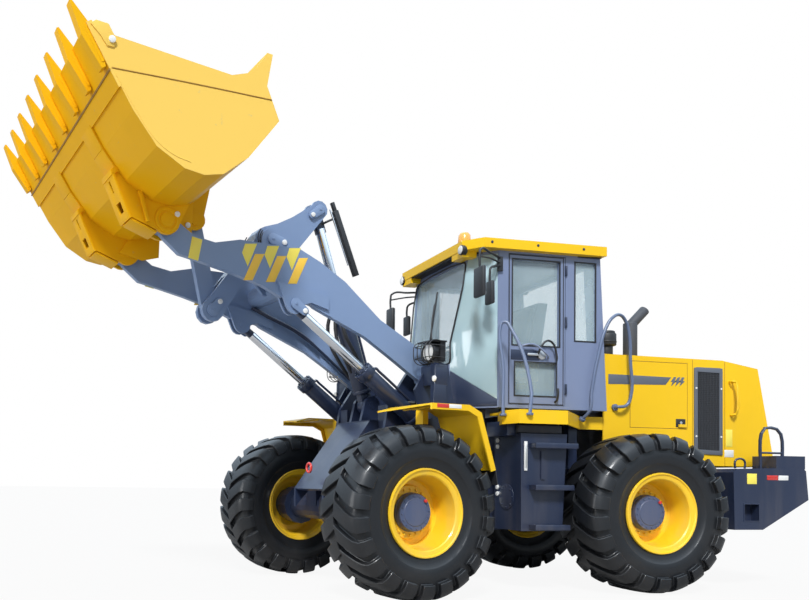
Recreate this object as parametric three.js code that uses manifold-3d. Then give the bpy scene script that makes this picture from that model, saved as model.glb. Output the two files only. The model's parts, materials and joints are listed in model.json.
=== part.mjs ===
// Articulated wheel loader of the five tonne class, standing on its tyres with the boom raised,
// the bucket rolled back and the front frame turned a little to the left.
// Millimetres. +X is forward, +Y is the machine's left, +Z is up.
// Everything is laid out from the ground point under the articulation pin, and the finished group
// is then moved so that its origin is the middle of the bottom of its bounding box.

import * as THREE from 'three';
import { mergeVertices } from 'three/addons/utils/BufferGeometryUtils.js';
import { ConvexGeometry } from 'three/addons/geometries/ConvexGeometry.js';
import Module from 'manifold-3d';

const wasm = await Module();
wasm.setup();

// ---------------------------------------------------------------- driving dimensions

const GAP = 0.3;                       // between neighbours that are fixed together
const STEER = THREE.MathUtils.degToRad(10.94);   // front frame's angle to the rear frame

const TYRE_RADIUS = 800;
const TYRE_WIDTH = 595;
const RIM_RADIUS = 317;                // bead seat of a 25 inch rim
const FLANGE_RADIUS = 381;
const TRACK = 2250;
const FRONT_AXLE_X = 1480;
const REAR_AXLE_X = -1450;
const AXLE_TUBE_RADIUS = 145;

const BOOM_PIVOT = [850, 2130];        // all linkage points are [X, Z] in the front frame
const BUCKET_PIN = [3712, 3318];
const LINK_PIN = [3205, 3560];         // link to bucket
const ROCKER_PIVOT = [2420, 3449];
const ROCKER_TOP = [1838, 3848];       // rocker to tilt rod
const ROCKER_FOOT = [3008, 2708];      // rocker to link
const LIFT_BASE = [900, 1630];
const LIFT_EYE = [2404, 2722];
const TILT_BASE = [1190, 1870];
const ARM_Y = [545, 605];              // inner and outer face of a boom arm
const CYLINDER_Y = 575;                // lift cylinders lie under the arms

const BUCKET_HALF = 1508;
const BUCKET_SHEET = 28;
const TEETH = 8;

const CAB_HALF = 800;
const CAB_WALL = 55;
const CAB_FLOOR = 1850;
const CAB_TOP = 3465;
const HOOD_HALF = 680;
const HOOD_SHEET = 15;
const HOOD_TOP = 2478;
const DECK_TOP = 1795;
const DECK_HALF = 1250;
const TANK_Y = [654, 1130];
const RAIL_Y = [330, 370];             // rear frame's long plates
const SIDES = [['left', 1], ['right', -1]];

// ---------------------------------------------------------------- shape helpers

function manifoldOf(geometry) {
  const bare = geometry.clone();
  bare.deleteAttribute('normal');
  bare.deleteAttribute('uv');
  const merged = mergeVertices(bare, 1e-3);
  return new wasm.Manifold(new wasm.Mesh({
    numProp: 3,
    vertProperties: new Float32Array(merged.attributes.position.array),
    triVerts: new Uint32Array(merged.index.array),
  }));
}

function geometryOf(manifold) {
  const { vertProperties, triVerts } = manifold.getMesh();
  const geometry = new THREE.BufferGeometry();
  geometry.setAttribute('position', new THREE.BufferAttribute(new Float32Array(vertProperties), 3));
  geometry.setIndex(new THREE.BufferAttribute(new Uint32Array(triVerts), 1));
  return geometry;
}

function join(...pieces) {
  return geometryOf(pieces.map(manifoldOf).reduce((whole, piece) => whole.add(piece)));
}

function cut(piece, ...tools) {
  return geometryOf(tools.map(manifoldOf).reduce((rest, tool) => rest.subtract(tool), manifoldOf(piece)));
}

function common(piece, other) {
  return geometryOf(manifoldOf(piece).intersect(manifoldOf(other)));
}

function mirrored(geometry) {
  const copy = geometry.clone().scale(1, -1, 1);
  const index = copy.index ? Array.from(copy.index.array) : [...copy.attributes.position.array.keys()]
    .slice(0, copy.attributes.position.count);
  for (let i = 0; i < index.length; i += 3) [index[i], index[i + 1]] = [index[i + 1], index[i]];
  copy.setIndex(index);
  return copy;
}

function both(geometry) {
  return [geometry, mirrored(geometry)];
}

function box(x, y, z) {
  return new THREE.BoxGeometry(x[1] - x[0], y[1] - y[0], z[1] - z[0])
    .translate((x[0] + x[1]) / 2, (y[0] + y[1]) / 2, (z[0] + z[1]) / 2);
}

function extrude(outline, depth) {
  const shape = new THREE.Shape(outline.map(([a, b]) => new THREE.Vector2(a, b)));
  return new THREE.ExtrudeGeometry(shape, { depth, bevelEnabled: false, steps: 1 });
}

// An outline of [X, Z] points, made solid between two values of Y.
function side(outline, y0, y1) {
  return extrude(outline, y1 - y0).rotateX(Math.PI / 2).translate(0, y1, 0);
}

// An outline of [X, Y] points, made solid between two values of Z.
function plan(outline, z0, z1) {
  return extrude(outline, z1 - z0).translate(0, 0, z0);
}

function pinY([x, z], radius, y0, y1, sides = 12) {
  return new THREE.CylinderGeometry(radius, radius, y1 - y0, sides).translate(x, (y0 + y1) / 2, z);
}

function pinX([y, z], radius, x0, x1, sides = 12) {
  return new THREE.CylinderGeometry(radius, radius, x1 - x0, sides).rotateZ(Math.PI / 2)
    .translate((x0 + x1) / 2, y, z);
}

function pinZ([x, y], radius, z0, z1, sides = 12) {
  return new THREE.CylinderGeometry(radius, radius, z1 - z0, sides).rotateX(Math.PI / 2)
    .translate(x, y, (z0 + z1) / 2);
}

// A tube or bar of round section through the points.
function bentBar(points, radius, sides = 6, steps = 14) {
  const path = new THREE.CatmullRomCurve3(points.map((p) => new THREE.Vector3(...p)), false, 'centripetal');
  const section = new THREE.Shape(Array.from({ length: sides }, (_, i) => new THREE.Vector2(
    radius * Math.cos(i * 2 * Math.PI / sides), radius * Math.sin(i * 2 * Math.PI / sides))));
  return new THREE.ExtrudeGeometry(section, { steps, extrudePath: path });
}

function bar(a, b, radius, sides = 6) {
  return bentBar([a, b], radius, sides, 1);
}

// The outline of a sheet of the given thickness whose left side runs through the points.
function sheet(path, thickness) {
  const inner = path.map((point, i) => {
    const before = path[Math.max(i - 1, 0)];
    const after = path[Math.min(i + 1, path.length - 1)];
    const normal = (a, b) => {
      const length = Math.hypot(b[0] - a[0], b[1] - a[1]) || 1;
      return [(b[1] - a[1]) / length, -(b[0] - a[0]) / length];
    };
    const n0 = i === 0 ? normal(point, after) : normal(before, point);
    const n1 = i === path.length - 1 ? n0 : normal(point, after);
    const sum = [n0[0] + n1[0], n0[1] + n1[1]];
    const scale = 2 / (sum[0] ** 2 + sum[1] ** 2);
    return [point[0] + sum[0] * scale * thickness, point[1] + sum[1] * scale * thickness];
  });
  return [...path, ...inner.reverse()];
}

function arc([x, z], radius, from, to, count) {
  return Array.from({ length: count + 1 }, (_, i) => {
    const angle = THREE.MathUtils.degToRad(from + (to - from) * i / count);
    return [x + radius * Math.cos(angle), z + radius * Math.sin(angle)];
  });
}

// A solid of revolution about the Y axis. The profile is a list of [radius, Y] points.
function turned(profile, sides) {
  return new THREE.LatheGeometry(profile.map(([r, y]) => new THREE.Vector2(r, y)), sides);
}

// Places something modelled along +X from the origin in the X-Z plane onto the line from a to b.
function alongLine(geometry, a, b, y) {
  return geometry.rotateY(-Math.atan2(b[1] - a[1], b[0] - a[0])).translate(a[0], y, a[1]);
}

// ---------------------------------------------------------------- materials

function finish(colour, roughness, metalness = 0) {
  return () => new THREE.MeshStandardMaterial({ color: colour, roughness, metalness });
}

const yellowPaint = finish(0xf2b61c, 0.35);
const bucketPaint = finish(0xe8a516, 0.4);
const armPaint = finish(0x76849c, 0.4);
const framePaint = finish(0x333c4e, 0.45);
const cabPaint = finish(0x7e8194, 0.4);
const tyreRubber = finish(0x1d1f22, 0.85);
const rimPaint = finish(0xf2b61c, 0.4);
const chrome = finish(0xd8dadd, 0.15, 1);
const blackPlastic = finish(0x17181b, 0.6);
const glassPane = finish(0xb9d2cc, 0.05);
const castIron = finish(0x4a4d52, 0.7, 0.3);

const loader = new THREE.Group();
const rear = new THREE.Group();
const front = new THREE.Group();
front.rotation.z = STEER;
loader.add(rear, front);

function place(group, name, geometry, material) {
  const mesh = new THREE.Mesh(geometry, material());
  mesh.name = name;
  group.add(mesh);
}

// ---------------------------------------------------------------- rear frame and its load

function rearFrame() {
  const rail = side([
    [-120, 560], [-120, 1330], [-2500, 1330], [-2540, 1230], [-3140, 1230], [-3140, 820],
    [-2560, 760], [-2050, 760], [-1860, 1110], [-1060, 1110], [-960, 640],
  ], ...RAIL_Y);
  const bulkhead = (x0, x1, z0, z1) => box([x0, x1], [-RAIL_Y[1], RAIL_Y[1]], [z0, z1]);
  const lug = (z0, z1) => cut(
    plan([[-150, -260], ...arc([0, 0], 130, -80, 80, 8), [-150, 260]], z0, z1),
    pinZ([0, 0], 72, z0 - 5, z1 + 5));
  const axleHanger = (x) => cut(bulkhead(x - 20, x + 20, 600, 1125), pinX([0, 800], 105, x - 30, x + 30));
  const cabPost = (x) => box([x - 50, x + 50], [360, 640], [1240, 1320]);
  const post = (x) => box([x - 50, x + 50], [560, 640], [1240, CAB_FLOOR - GAP]);
  const tankArm = box([-420, -320], [360, TANK_Y[0] - GAP], [1150, 1280]);
  return join(
    ...both(rail), bulkhead(-160, -120, 560, 1330), bulkhead(-3140, -3100, 820, 1230),
    axleHanger(-1160), axleHanger(-1760),
    lug(1285, 1325), lug(560, 600), ...both(tankArm),
    ...[-230, -1000].flatMap((x) => [...both(cabPost(x)), ...both(post(x))]));
}

function engineBlock() {
  return join(
    box([-2540, -1960], [-300, 300], [900, 1200]), box([-2540, -1300], [-280, 280], [1130, 1950]),
    pinX([0, 1230], 95, -1310, -990), box([-1000, -500], [-310, 310], [760, 1300]),
    box([-3010, -2500], [-250, 250], [1400, 1900]), box([-3150, -3000], [-480, 480], [1340, 2250]));
}

function counterweight() {
  const body = side([
    [-2586, 623], [-2572, 1225], [-2612, 1264], [-3447, 1284], [-3490, 1250], [-3521, 943], [-2939, 624],
  ], -1100, 1100);
  const bay = box([-3141, -2500], [-RAIL_Y[1] - GAP, RAIL_Y[1] + GAP], [500, 1231]);
  const tieHole = box([-2889, -2702], [1000, 1110], [716, 894]);
  const handRail = bentBar([
    [-2960, 1050, 1260], [-2964, 1050, 1620], [-3010, 1050, 1700], [-3180, 1050, 1690],
    [-3228, 1050, 1620], [-3235, 1050, 1260]], 17);
  const lampBox = box([-3500, -3130], [780, 1080], [1270, 1410]);
  return join(cut(body, bay, ...both(tieHole)), ...both(handRail), ...both(lampBox));
}

const HOOD_OUTLINE = [
  [-1340, 1331], [-1340, HOOD_TOP], [-2836, 2469], [-3304, 2394], [-3505, 1424], [-3500, 1300], [-2590, 1300],
  [-2590, 1331]];
const SIDE_DOOR = { x: [-2385, -1670], z: [1700, 2415] };
const GRILLE = { y: 560, z: [1500, 2250] };

function hoodRearX(z) {
  return -3304 - (2394 - z) * (201 / 970);
}

function hood() {
  const inner = [
    [-1300, 1250], [-1300, 2478 - HOOD_SHEET], [-2834, 2469 - HOOD_SHEET], [-3292, 2394 - HOOD_SHEET],
    [-3489, 1424], [-3484, 1250]];
  const shell = cut(side(HOOD_OUTLINE, -HOOD_HALF, HOOD_HALF),
    side(inner, -HOOD_HALF + HOOD_SHEET, HOOD_HALF - HOOD_SHEET));
  const doorway = box([SIDE_DOOR.x[0] - 5, SIDE_DOOR.x[1] + 5], [HOOD_HALF - 40, HOOD_HALF + 20],
    [SIDE_DOOR.z[0] - 5, SIDE_DOOR.z[1] + 5]);
  const vent = (z0, z1) => box([-2800, -2500], [HOOD_HALF - 40, HOOD_HALF + 20], [z0, z1]);
  const rearOpening = box([-3600, -3200], [-GRILLE.y - 5, GRILLE.y + 5], [GRILLE.z[0] - 5, GRILLE.z[1] + 5]);
  const handle = bentBar([
    [-2960, HOOD_HALF - 8, 2230], [-2960, HOOD_HALF + 60, 2225], [-2960, HOOD_HALF + 60, 1865],
    [-2960, HOOD_HALF - 8, 1860]], 11, 6, 8);
  return join(
    cut(shell, ...both(doorway), ...both(vent(1500, 1840)), ...both(vent(1900, 2300)), rearOpening),
    ...both(handle));
}

function hoodDoor() {
  const { x, z } = SIDE_DOOR;
  const panel = box(x, [HOOD_HALF - HOOD_SHEET, HOOD_HALF], z);
  const latch = box([x[0] + 20, x[0] + 120], [HOOD_HALF - 5, HOOD_HALF + 22], [z[0] + 15, z[0] + 45]);
  return join(panel, latch);
}

function rearGrille() {
  const outline = [
    [hoodRearX(GRILLE.z[0]) + 14, GRILLE.z[0]], [hoodRearX(GRILLE.z[0]), GRILLE.z[0]],
    [hoodRearX(GRILLE.z[1]), GRILLE.z[1]], [hoodRearX(GRILLE.z[1]) + 14, GRILLE.z[1]]];
  const slots = Array.from({ length: 5 }, (_, i) => {
    const z = GRILLE.z[0] + 75 + i * 130;
    return box([-3600, -3200], [-GRILLE.y + 60, GRILLE.y - 60], [z, z + 80]);
  });
  return cut(side(outline, -GRILLE.y, GRILLE.y), ...slots);
}

// An upright silencer whose tail bends back.
function exhaust() {
  return join(
    pinZ([-2056, 200], 75, HOOD_TOP + GAP, 2960), bar([-2056, 200, 2900], [-2215, 200, 3060], 55, 12));
}

// A short stack under its rain cap.
function airIntake() {
  return join(pinZ([-1665, 300], 70, HOOD_TOP + GAP, 2640), pinZ([-1665, 300], 105, 2633, 2800));
}

function stepTank() {
  const body = side([[-81, 610], [-75, 1570], [-584, 1570], [-533, 610]], ...TANK_Y);
  const steps = [[1450, 631], [1040, 588], [650, 545]].map(([z, reach]) => box(
    [-reach, -165], [TANK_Y[1] - 10, TANK_Y[1] + 110], [z - 18, z + 18]));
  const gauge = box([-330, -290], [TANK_Y[1] - 5, TANK_Y[1] + 14], [1120, 1400]);
  return join(body, ...steps, gauge);
}

function platform() {
  const wall = HOOD_HALF + 6;
  const edge = [[-20, 650], [-20, 806], [80, 1046], [19, DECK_HALF], [-509, DECK_HALF], [-1054, wall]];
  const deck = plan([...edge, [-1330, wall], [-1330, 650]], DECK_TOP - 25, DECK_TOP);
  const fascia = plan(sheet([...edge.slice(1), [-1330, wall]], -20), 1660, DECK_TOP - 5);
  return join(deck, fascia);
}

function frontRail() {
  return bentBar([
    [94, 1090, 1740], [94, 1082, 1830], [66, 1040, 2200], [62, 975, 2640], [30, 985, 2700],
    [-20, 1040, 2610], [-112, 1240, 1985], [-92, 1274, 1830], [-84, 1274, 1735]], 17);
}

function rearRail() {
  const rail = bentBar([
    [-1030, 752, 1750], [-1062, 835, 1850], [-1075, 845, 2040], [-1150, 845, 2420], [-1255, 845, 2745],
    [-1330, 845, 2850], [-1430, 820, 2880], [-1520, 790, 2830], [-1575, 775, 2700], [-1602, 765, 2400],
    [-1615, 755, 2020], [-1570, 745, 1925], [-1470, 735, 1905]], 17, 6, 24);
  const foot = box([-1500, -1440], [HOOD_HALF + GAP, 745], [1875, 1930]);
  return join(rail, foot);
}

// ---------------------------------------------------------------- cab

// The cab's volume, drawn in from its outside by the given amount: upright sides and corner faces,
// a leaning rear wall and a windscreen that leans back above its sill.
function cabVolume(inset, floor = CAB_FLOOR, top = CAB_TOP) {
  const half = CAB_HALF - inset;
  const rearX = (z) => -1290 + (z - 1850) * 0.053 + inset;
  const screenX = (z) => 339 - Math.max(z - 2540, 0) * 0.1543 - inset;
  const cornerY = (x) => CAB_HALF - (x + 30) * 0.9485 - inset * 1.378;
  const pillarX = -30 - inset * 0.4;
  const points = [floor, 2540, top].flatMap((z) => {
    const x = screenX(z);
    return [[rearX(z), half], [pillarX, half], [x, cornerY(x)]].flatMap(([px, py]) => [
      new THREE.Vector3(px, py, z), new THREE.Vector3(px, -py, z)]);
  });
  return new ConvexGeometry(points);
}

// Straight cutters through the walls. Each is [name, cutter], drawn in by the clearance given.
function cabOpenings(clear) {
  const screen = front3([[-470, 2330], [470, 2330], [570, 3390], [-570, 3390]], 60, 460, clear);
  const along = (t, off) => [
    -30 + 369 * t + 0.688 * off, CAB_HALF - 350 * t + 0.726 * off];
  const cornerSpan = plan([
    along(0.14 + clear / 500, -150), along(0.14 + clear / 500, 150),
    along(0.58 - clear / 500, 150), along(0.58 - clear / 500, -150)], 2250 + clear, 3390 - clear);
  const sideWindow = box([-1150 + clear, -905 - clear], [CAB_HALF - 120, CAB_HALF + 60],
    [2573 + clear, 3400 - clear]);
  const rearWindow = box([-1400, -1100], [-600 + clear, 600 - clear], [2560 + clear, 3390 - clear]);
  return { screen, cornerSpan, sideWindow, rearWindow };
}

// An outline of [Y, Z] points between two values of X, drawn in towards its middle by the clearance.
function front3(outline, x0, x1, clear = 0) {
  const points = outline.map(([y, z]) => [y - Math.sign(y) * clear, z + (z < 2900 ? clear : -clear)]);
  return extrude(points, x1 - x0).rotateX(Math.PI / 2).rotateZ(Math.PI / 2).translate(x0, 0, 0);
}

const DOOR = { x: [-790, -140], z: [1890, 3440] };

function cabShell() {
  const open = cabOpenings(0);
  const doorway = box([DOOR.x[0] - 6, DOOR.x[1] + 6], [CAB_HALF - 120, CAB_HALF + 60],
    [DOOR.z[0] - 6, DOOR.z[1] + 6]);
  return cut(cabVolume(0), cabVolume(CAB_WALL, CAB_FLOOR + 35, CAB_TOP - 30),
    open.screen, open.rearWindow, ...both(open.cornerSpan), ...both(open.sideWindow), ...both(doorway));
}

// Two mirrors on one bracket at the top of the front pillar.
function mirror() {
  const head = (x, y, z, wide, tall) => [
    box([x - 22, x + 22], [y - wide / 2, y + wide / 2], [z - tall, z]),
    bar([x, y, z - 20], [x, y, z + 110], 12)];
  return join(
    ...head(330, 1040, 3210, 180, 300), ...head(160, 940, 3100, 130, 235),
    bar([330, 1040, 3310], [-10, CAB_HALF + 14, 3380], 12),
    bar([160, 940, 3200], [-10, CAB_HALF + 14, 3300], 12),
    box([-60, 0], [CAB_HALF + GAP, CAB_HALF + 26], [3240, 3400]));
}

function cabRoof() {
  const slab = plan([
    [-1225, -880], [180, -880], [335, -700], [335, 700], [180, 880], [-1225, 880]], CAB_TOP + GAP, 3563);
  const lampPod = box([170, 330], [480, 700], [3400, 3470]);
  const lamps = both(cut(lampPod, cabVolume(-8)));
  const beacon = new THREE.CylinderGeometry(52, 62, 120, 16).rotateX(Math.PI / 2).translate(230, 560, 3618);
  return join(slab, ...lamps, beacon);
}

function cabDoor() {
  const { x, z } = DOOR;
  const leaf = box(x, [CAB_HALF - 45, CAB_HALF - 2], z);
  const upper = box([x[0] + 62, x[1] - 40], [CAB_HALF - 60, CAB_HALF + 20], [2500, z[1] - 50]);
  const lower = box([x[0] + 90, x[1] - 70], [CAB_HALF - 60, CAB_HALF + 20], [z[0] + 90, 2330]);
  const handle = bentBar([
    [-260, CAB_HALF - 8, 2470], [-300, CAB_HALF + 45, 2500], [-420, CAB_HALF + 45, 2500],
    [-560, CAB_HALF + 45, 2400], [-600, CAB_HALF - 8, 2380]], 11, 6, 8);
  const rod = bentBar([
    [-700, CAB_HALF - 8, 2440], [-680, CAB_HALF + 40, 2400], [-680, CAB_HALF + 40, 2000],
    [-700, CAB_HALF - 8, 1960]], 11, 6, 8);
  return join(cut(leaf, upper, lower), handle, rod);
}

function doorGlass() {
  const { x, z } = DOOR;
  return box([x[0] + 25, x[1] - 25], [CAB_HALF - 53, CAB_HALF - 45 - GAP], [z[0] + 40, z[1] - 25]);
}

function seat() {
  return join(
    box([-760, -260], [-170, 170], [CAB_FLOOR + 36, 2240]), box([-830, -230], [-270, 270], [2200, 2400]),
    side([[-700, 2380], [-850, 2380], [-960, 3080], [-840, 3080]], -250, 250),
    ...both(box([-760, -330], [290, 350], [2560, 2600])),
    ...both(box([-740, -640], [240, 345], [2300, 2590])));
}

function steeringColumn() {
  const wheel = new THREE.TorusGeometry(190, 14, 6, 16).rotateY(0.35).translate(-60, 0, 2640);
  return join(
    box([20, 240], [-260, 260], [CAB_FLOOR + 36, 2500]), bar([60, 0, 2300], [-60, 0, 2640], 35, 10), wheel,
    bar([-68, -190, 2640], [-68, 190, 2640], 12));
}

// ---------------------------------------------------------------- axles, wheels and tyres

const HUB_FACE = 175;                  // of the planet hub, outwards from the wheel's middle plane
const HUB_BACK = -115;
const WHEEL_SIDES = 24;

function axle(trunnions) {
  const end = TRACK / 2 + HUB_BACK - 5;
  const housing = new THREE.SphereGeometry(255, 14, 8).scale(0.95, 1, 1);
  const pieces = [
    housing, pinY([0, 0], AXLE_TUBE_RADIUS, -end + 130, end - 130, 16),
    ...both(pinY([0, 0], 215, end - 150, end))];
  if (trunnions) pieces.push(pinX([0, 0], 95, -345, 325));
  else pieces.push(...both(box([-150, 150], [270, 470], [0, 190 - GAP])));
  return join(...pieces);
}

// One half of the outer skin, then the same half of the air space, as [radius, Y] from the bead up.
function tyre() {
  const w = TYRE_WIDTH / 2;
  const skin = [
    [RIM_RADIUS + GAP, w - 37], [FLANGE_RADIUS + 5, w - 37], [500, w], [740, w - 28], [TYRE_RADIUS, w - 130]];
  const hollow = [[RIM_RADIUS + GAP, w - 85], [500, w - 26], [735, w - 110]];
  const other = (half) => half.map(([r, y]) => [r, -y]);
  const loop = [...skin, ...other(skin).reverse(), ...other(hollow), ...[...hollow].reverse()];
  return turned([...loop, loop[0]].reverse(), WHEEL_SIDES);
}

// Rim, disc and planet hub, with its outer face towards +Y.
function wheel() {
  const w = TYRE_WIDTH / 2 - 22;
  const bore = RIM_RADIUS - 22;
  const rim = [
    [bore, -w], [FLANGE_RADIUS, -w], [FLANGE_RADIUS, -w + 13], [RIM_RADIUS, -w + 14],
    [RIM_RADIUS, w - 14], [FLANGE_RADIUS, w - 13], [FLANGE_RADIUS, w], [bore, w - 6],
    [bore, 45], [178, 45], [172, HUB_FACE], [0, HUB_FACE],
    [0, HUB_BACK], [185, HUB_BACK], [185, 10], [bore, 10]];
  return turned([...rim, rim[0]], WHEEL_SIDES);
}

function placeAxleSet(group, which, x, trunnions) {
  const axleMesh = new THREE.Mesh(axle(trunnions), framePaint());
  axleMesh.name = `${which}_axle`;
  axleMesh.position.set(x, 0, TYRE_RADIUS);
  group.add(axleMesh);
  for (const [name, sign] of SIDES) {
    const station = new THREE.Group();
    station.position.set(x, sign * TRACK / 2, TYRE_RADIUS);
    if (sign < 0) station.rotation.z = Math.PI;
    place(station, `${which}_tyre_${name}`, tyre(), tyreRubber);
    place(station, `${which}_wheel_${name}`, wheel(), rimPaint);
    group.add(station);
  }
}

// ---------------------------------------------------------------- front frame

const TOWER_Y = [430, 470];
const TOWER_OUTER_Y = [685, 715];
const NOSE_Y = 300;

function frontFrame() {
  const nose = side([
    [160, 500], [160, 1385], [620, 1480], [900, 1700], [1340, 1700], [1880, 990], [1880, 800], [1700, 990],
    [1240, 990], [1000, 620]], NOSE_Y - 30, NOSE_Y);
  const tower = side([
    [560, 1380], [560, 1760], [699, 2251], [850, 2290], [1000, 2200], [1240, 1860], [1300, 1500],
    [1000, 1380]], ...TOWER_Y);
  const outer = side([
    [640, 1450], [640, 1900], [699, 2251], [850, 2290], [980, 2190], [1101, 1985], [1010, 1640],
    [960, 1450]], ...TOWER_OUTER_Y);
  const rearWeb = box([600, 640], [TOWER_Y[0], TOWER_OUTER_Y[1]], [1440, 1900]);
  const shelf = box([600, 960], [NOSE_Y - 20, TOWER_OUTER_Y[1]], [1440, 1480]);
  const saddle = box([1300, 1660], [NOSE_Y - 20, 470], [990, 1030]);
  const saddleWeb = box([1300, 1340], [NOSE_Y - 20, 460], [1020, 1500]);
  const cover = side(sheet([[1340, 1700], [1880, 990]], 30), -NOSE_Y, NOSE_Y);
  const deck = side(sheet([[620, 1480], [900, 1700], [1350, 1700]], 30), -NOSE_Y, NOSE_Y);
  const crossWeb = box([1240, 1270], [-NOSE_Y, NOSE_Y], [1030, 1690]);
  const towerWeb = box([1200, 1240], [NOSE_Y - 10, TOWER_Y[1]], [1380, 1850]);
  const hingeWall = box([160, 200], [-NOSE_Y, NOSE_Y], [500, 1385]);
  const fork = (z0) => plan([[170, 250], ...arc([0, 0], 105, 100, 260, 8), [170, -250]], z0, z0 + 40);
  const hinge = (low) => [fork(low), fork(low + 100), pinZ([0, 0], 62, low + 10, low + 130)];
  const tiltLug = side([[1060, 1690], ...arc(TILT_BASE, 95, 150, 0, 8), [1330, 1690]], 75, 115);
  const pinBoss = (at, radius) => [
    pinY(at, radius, TOWER_Y[0] - 12, TOWER_Y[1] + 8),
    pinY(at, radius, TOWER_OUTER_Y[0] - 8, TOWER_OUTER_Y[1] + 14)];
  const boomPin = pinY(BOOM_PIVOT, 45, TOWER_Y[0], TOWER_OUTER_Y[1] + 10);
  const liftPin = pinY(LIFT_BASE, 40, TOWER_Y[0], TOWER_OUTER_Y[1] + 10);
  const tiltPin = pinY(TILT_BASE, 40, -120, 120);
  return join(
    ...both(nose), ...both(tower), ...both(outer), ...both(rearWeb), ...both(shelf), ...both(saddle),
    ...both(saddleWeb), ...both(towerWeb), cover, deck, crossWeb, hingeWall, ...hinge(510), ...hinge(1235),
    ...both(tiltLug), tiltPin,
    ...[...pinBoss(BOOM_PIVOT, 105), ...pinBoss(LIFT_BASE, 85), boomPin, liftPin].flatMap(both));
}

// A bent sheet over the tyre, with its front edge cut on a slant, and the head lamp on a post above it.
function fender() {
  const crown = [[1620, 1735], [1430, 1785], [1010, 1786], [871, 1720], [702, 1197]];
  const slant = plan([[1590, 780], [1430, 1410], [1640, 1410], [1640, 780]], 1600, 1800);
  const skin = cut(side(sheet(crown, -14), 790, 1400), slant);
  const lip = cut(side(sheet(crown, -55), 1385, 1400), slant);
  const stay = box([1030, 1090], [TOWER_OUTER_Y[1] + GAP, 830], [1640, 1780]);
  const post = box([945, 1005], [830, 880], [1770, 2330]);
  const lampHead = pinX([815, 2345], 92, 900, 1010, 16);
  const visor = box([890, 1060], [700, 930], [2437, 2452]);
  const head = box([900, 960], [720, 920], [2250, 2445]);
  return join(skin, lip, stay, post, lampHead, visor, head);
}

// ---------------------------------------------------------------- boom, rocker, link and bucket

function boom() {
  const arm = side([
    ...arc(BOOM_PIVOT, 120, 260, 125, 6), [914, 2384], [1439, 2661], [1845, 2993], [2125, 3154],
    [2343, 3250], [2492, 3256], [2968, 3262], [3215, 3205], [3420, 3240], [3575, 3345],
    ...arc(BUCKET_PIN, 105, 110, -70, 8), [3700, 3174], [3560, 3060], [3454, 3040], [3063, 2954],
    [2738, 2868], [2560, 2790], [2496, 2764], [2228, 2733],
    [1611, 2479], [1318, 2304], [1004, 2110]], ...ARM_Y);
  const rodSlot = alongLine(box([0, 380], [-58, 58], [-125, 125]), LIFT_EYE, LIFT_BASE, CYLINDER_Y);
  const eyeSlot = pinY(LIFT_EYE, 140, 500, 650);
  const liftLug = (y0, y1) => side([
    [2590, 2920], [2040, 2830], [2040, 2700], [2230, 2750], ...arc(LIFT_EYE, 95, 180, 340, 6)], y0, y1);
  const liftLugs = [liftLug(ARM_Y[0] - 26, ARM_Y[0] + 1), liftLug(ARM_Y[1] - 1, ARM_Y[1] + 26)];
  const liftPins = [
    pinY(LIFT_EYE, 32, ARM_Y[0] - 34, ARM_Y[0]), pinY(LIFT_EYE, 32, ARM_Y[1], ARM_Y[1] + 34)];
  const bored = cut(join(arm,
    pinY(BOOM_PIVOT, 105, 490, 665), pinY(BUCKET_PIN, 100, 510, 640)),
  pinY(BOOM_PIVOT, 50, 480, 680), pinY(BUCKET_PIN, 50, 500, 650), rodSlot, eyeSlot);
  const crossTube = pinY([2230, 3020], 110, -560, 560, 16);
  const cheek = cut(side([
    [2130, 2940], [2150, 3200], ...arc(ROCKER_PIVOT, 110, 160, 10, 6), [2560, 3200], [2360, 2960]], 130, 175),
  pinY(ROCKER_PIVOT, 50, 120, 190));
  return join(...both(bored), ...[...liftLugs, ...liftPins].flatMap(both), crossTube, ...both(cheek));
}

const ROCKER_Y = 90;                   // half thickness of the rocker's plate
const ROD_FORK = 58;                   // half widths of the forks at its two ends
const LINK_FORK = 42;
const STUB_PIN = 10;                   // how far each pin stands proud of the rocker

function rocker() {
  const plate = side([
    ...arc(ROCKER_TOP, 95, 200, 20, 6), [2150, 3730], [2320, 3640], ...arc(ROCKER_PIVOT, 150, 75, 0, 3),
    [3030, 2850], ...arc(ROCKER_FOOT, 112, 30, -150, 6), [2760, 2900], [2420, 3200], [2180, 3290]],
  -ROCKER_Y, ROCKER_Y);
  const forks = [
    pinY(ROCKER_TOP, 170, -ROD_FORK, ROD_FORK), pinY(ROCKER_FOOT, 390, -LINK_FORK, LINK_FORK),
    side([ROCKER_TOP, ...arc(ROCKER_TOP, 330, -200, -66, 6)], -ROD_FORK, ROD_FORK)];
  return join(
    cut(plate, ...forks), pinY(ROCKER_PIVOT, 42, -185, 185), pinY(ROCKER_PIVOT, 100, -122, 122),
    ...both(pinY(ROCKER_FOOT, 36, LINK_FORK, ROCKER_Y + STUB_PIN)),
    ...both(pinY(ROCKER_TOP, 36, ROD_FORK, ROCKER_Y + STUB_PIN)));
}

function bucketLink() {
  const height = Math.hypot(LINK_PIN[0] - ROCKER_FOOT[0], LINK_PIN[1] - ROCKER_FOOT[1]);
  const plate = side([...arc([0, 0], 85, 90, 270, 6), ...arc([height, 0], 80, -80, 80, 6)], -34, 34);
  const bored = cut(plate, pinY([0, 0], 41, -40, 40), pinY([height, 0], 43, -40, 40));
  return alongLine(bored, ROCKER_FOOT, LINK_PIN, 0);
}

const BUCKET_BACK = [
  [4640, 4430], [4464, 4128], [4288, 3842], [4093, 3596], [3863, 3464], [3700, 3438], [3536, 3470],
  [3322, 3638], [3053, 3978], [3166, 4243]];

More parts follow.
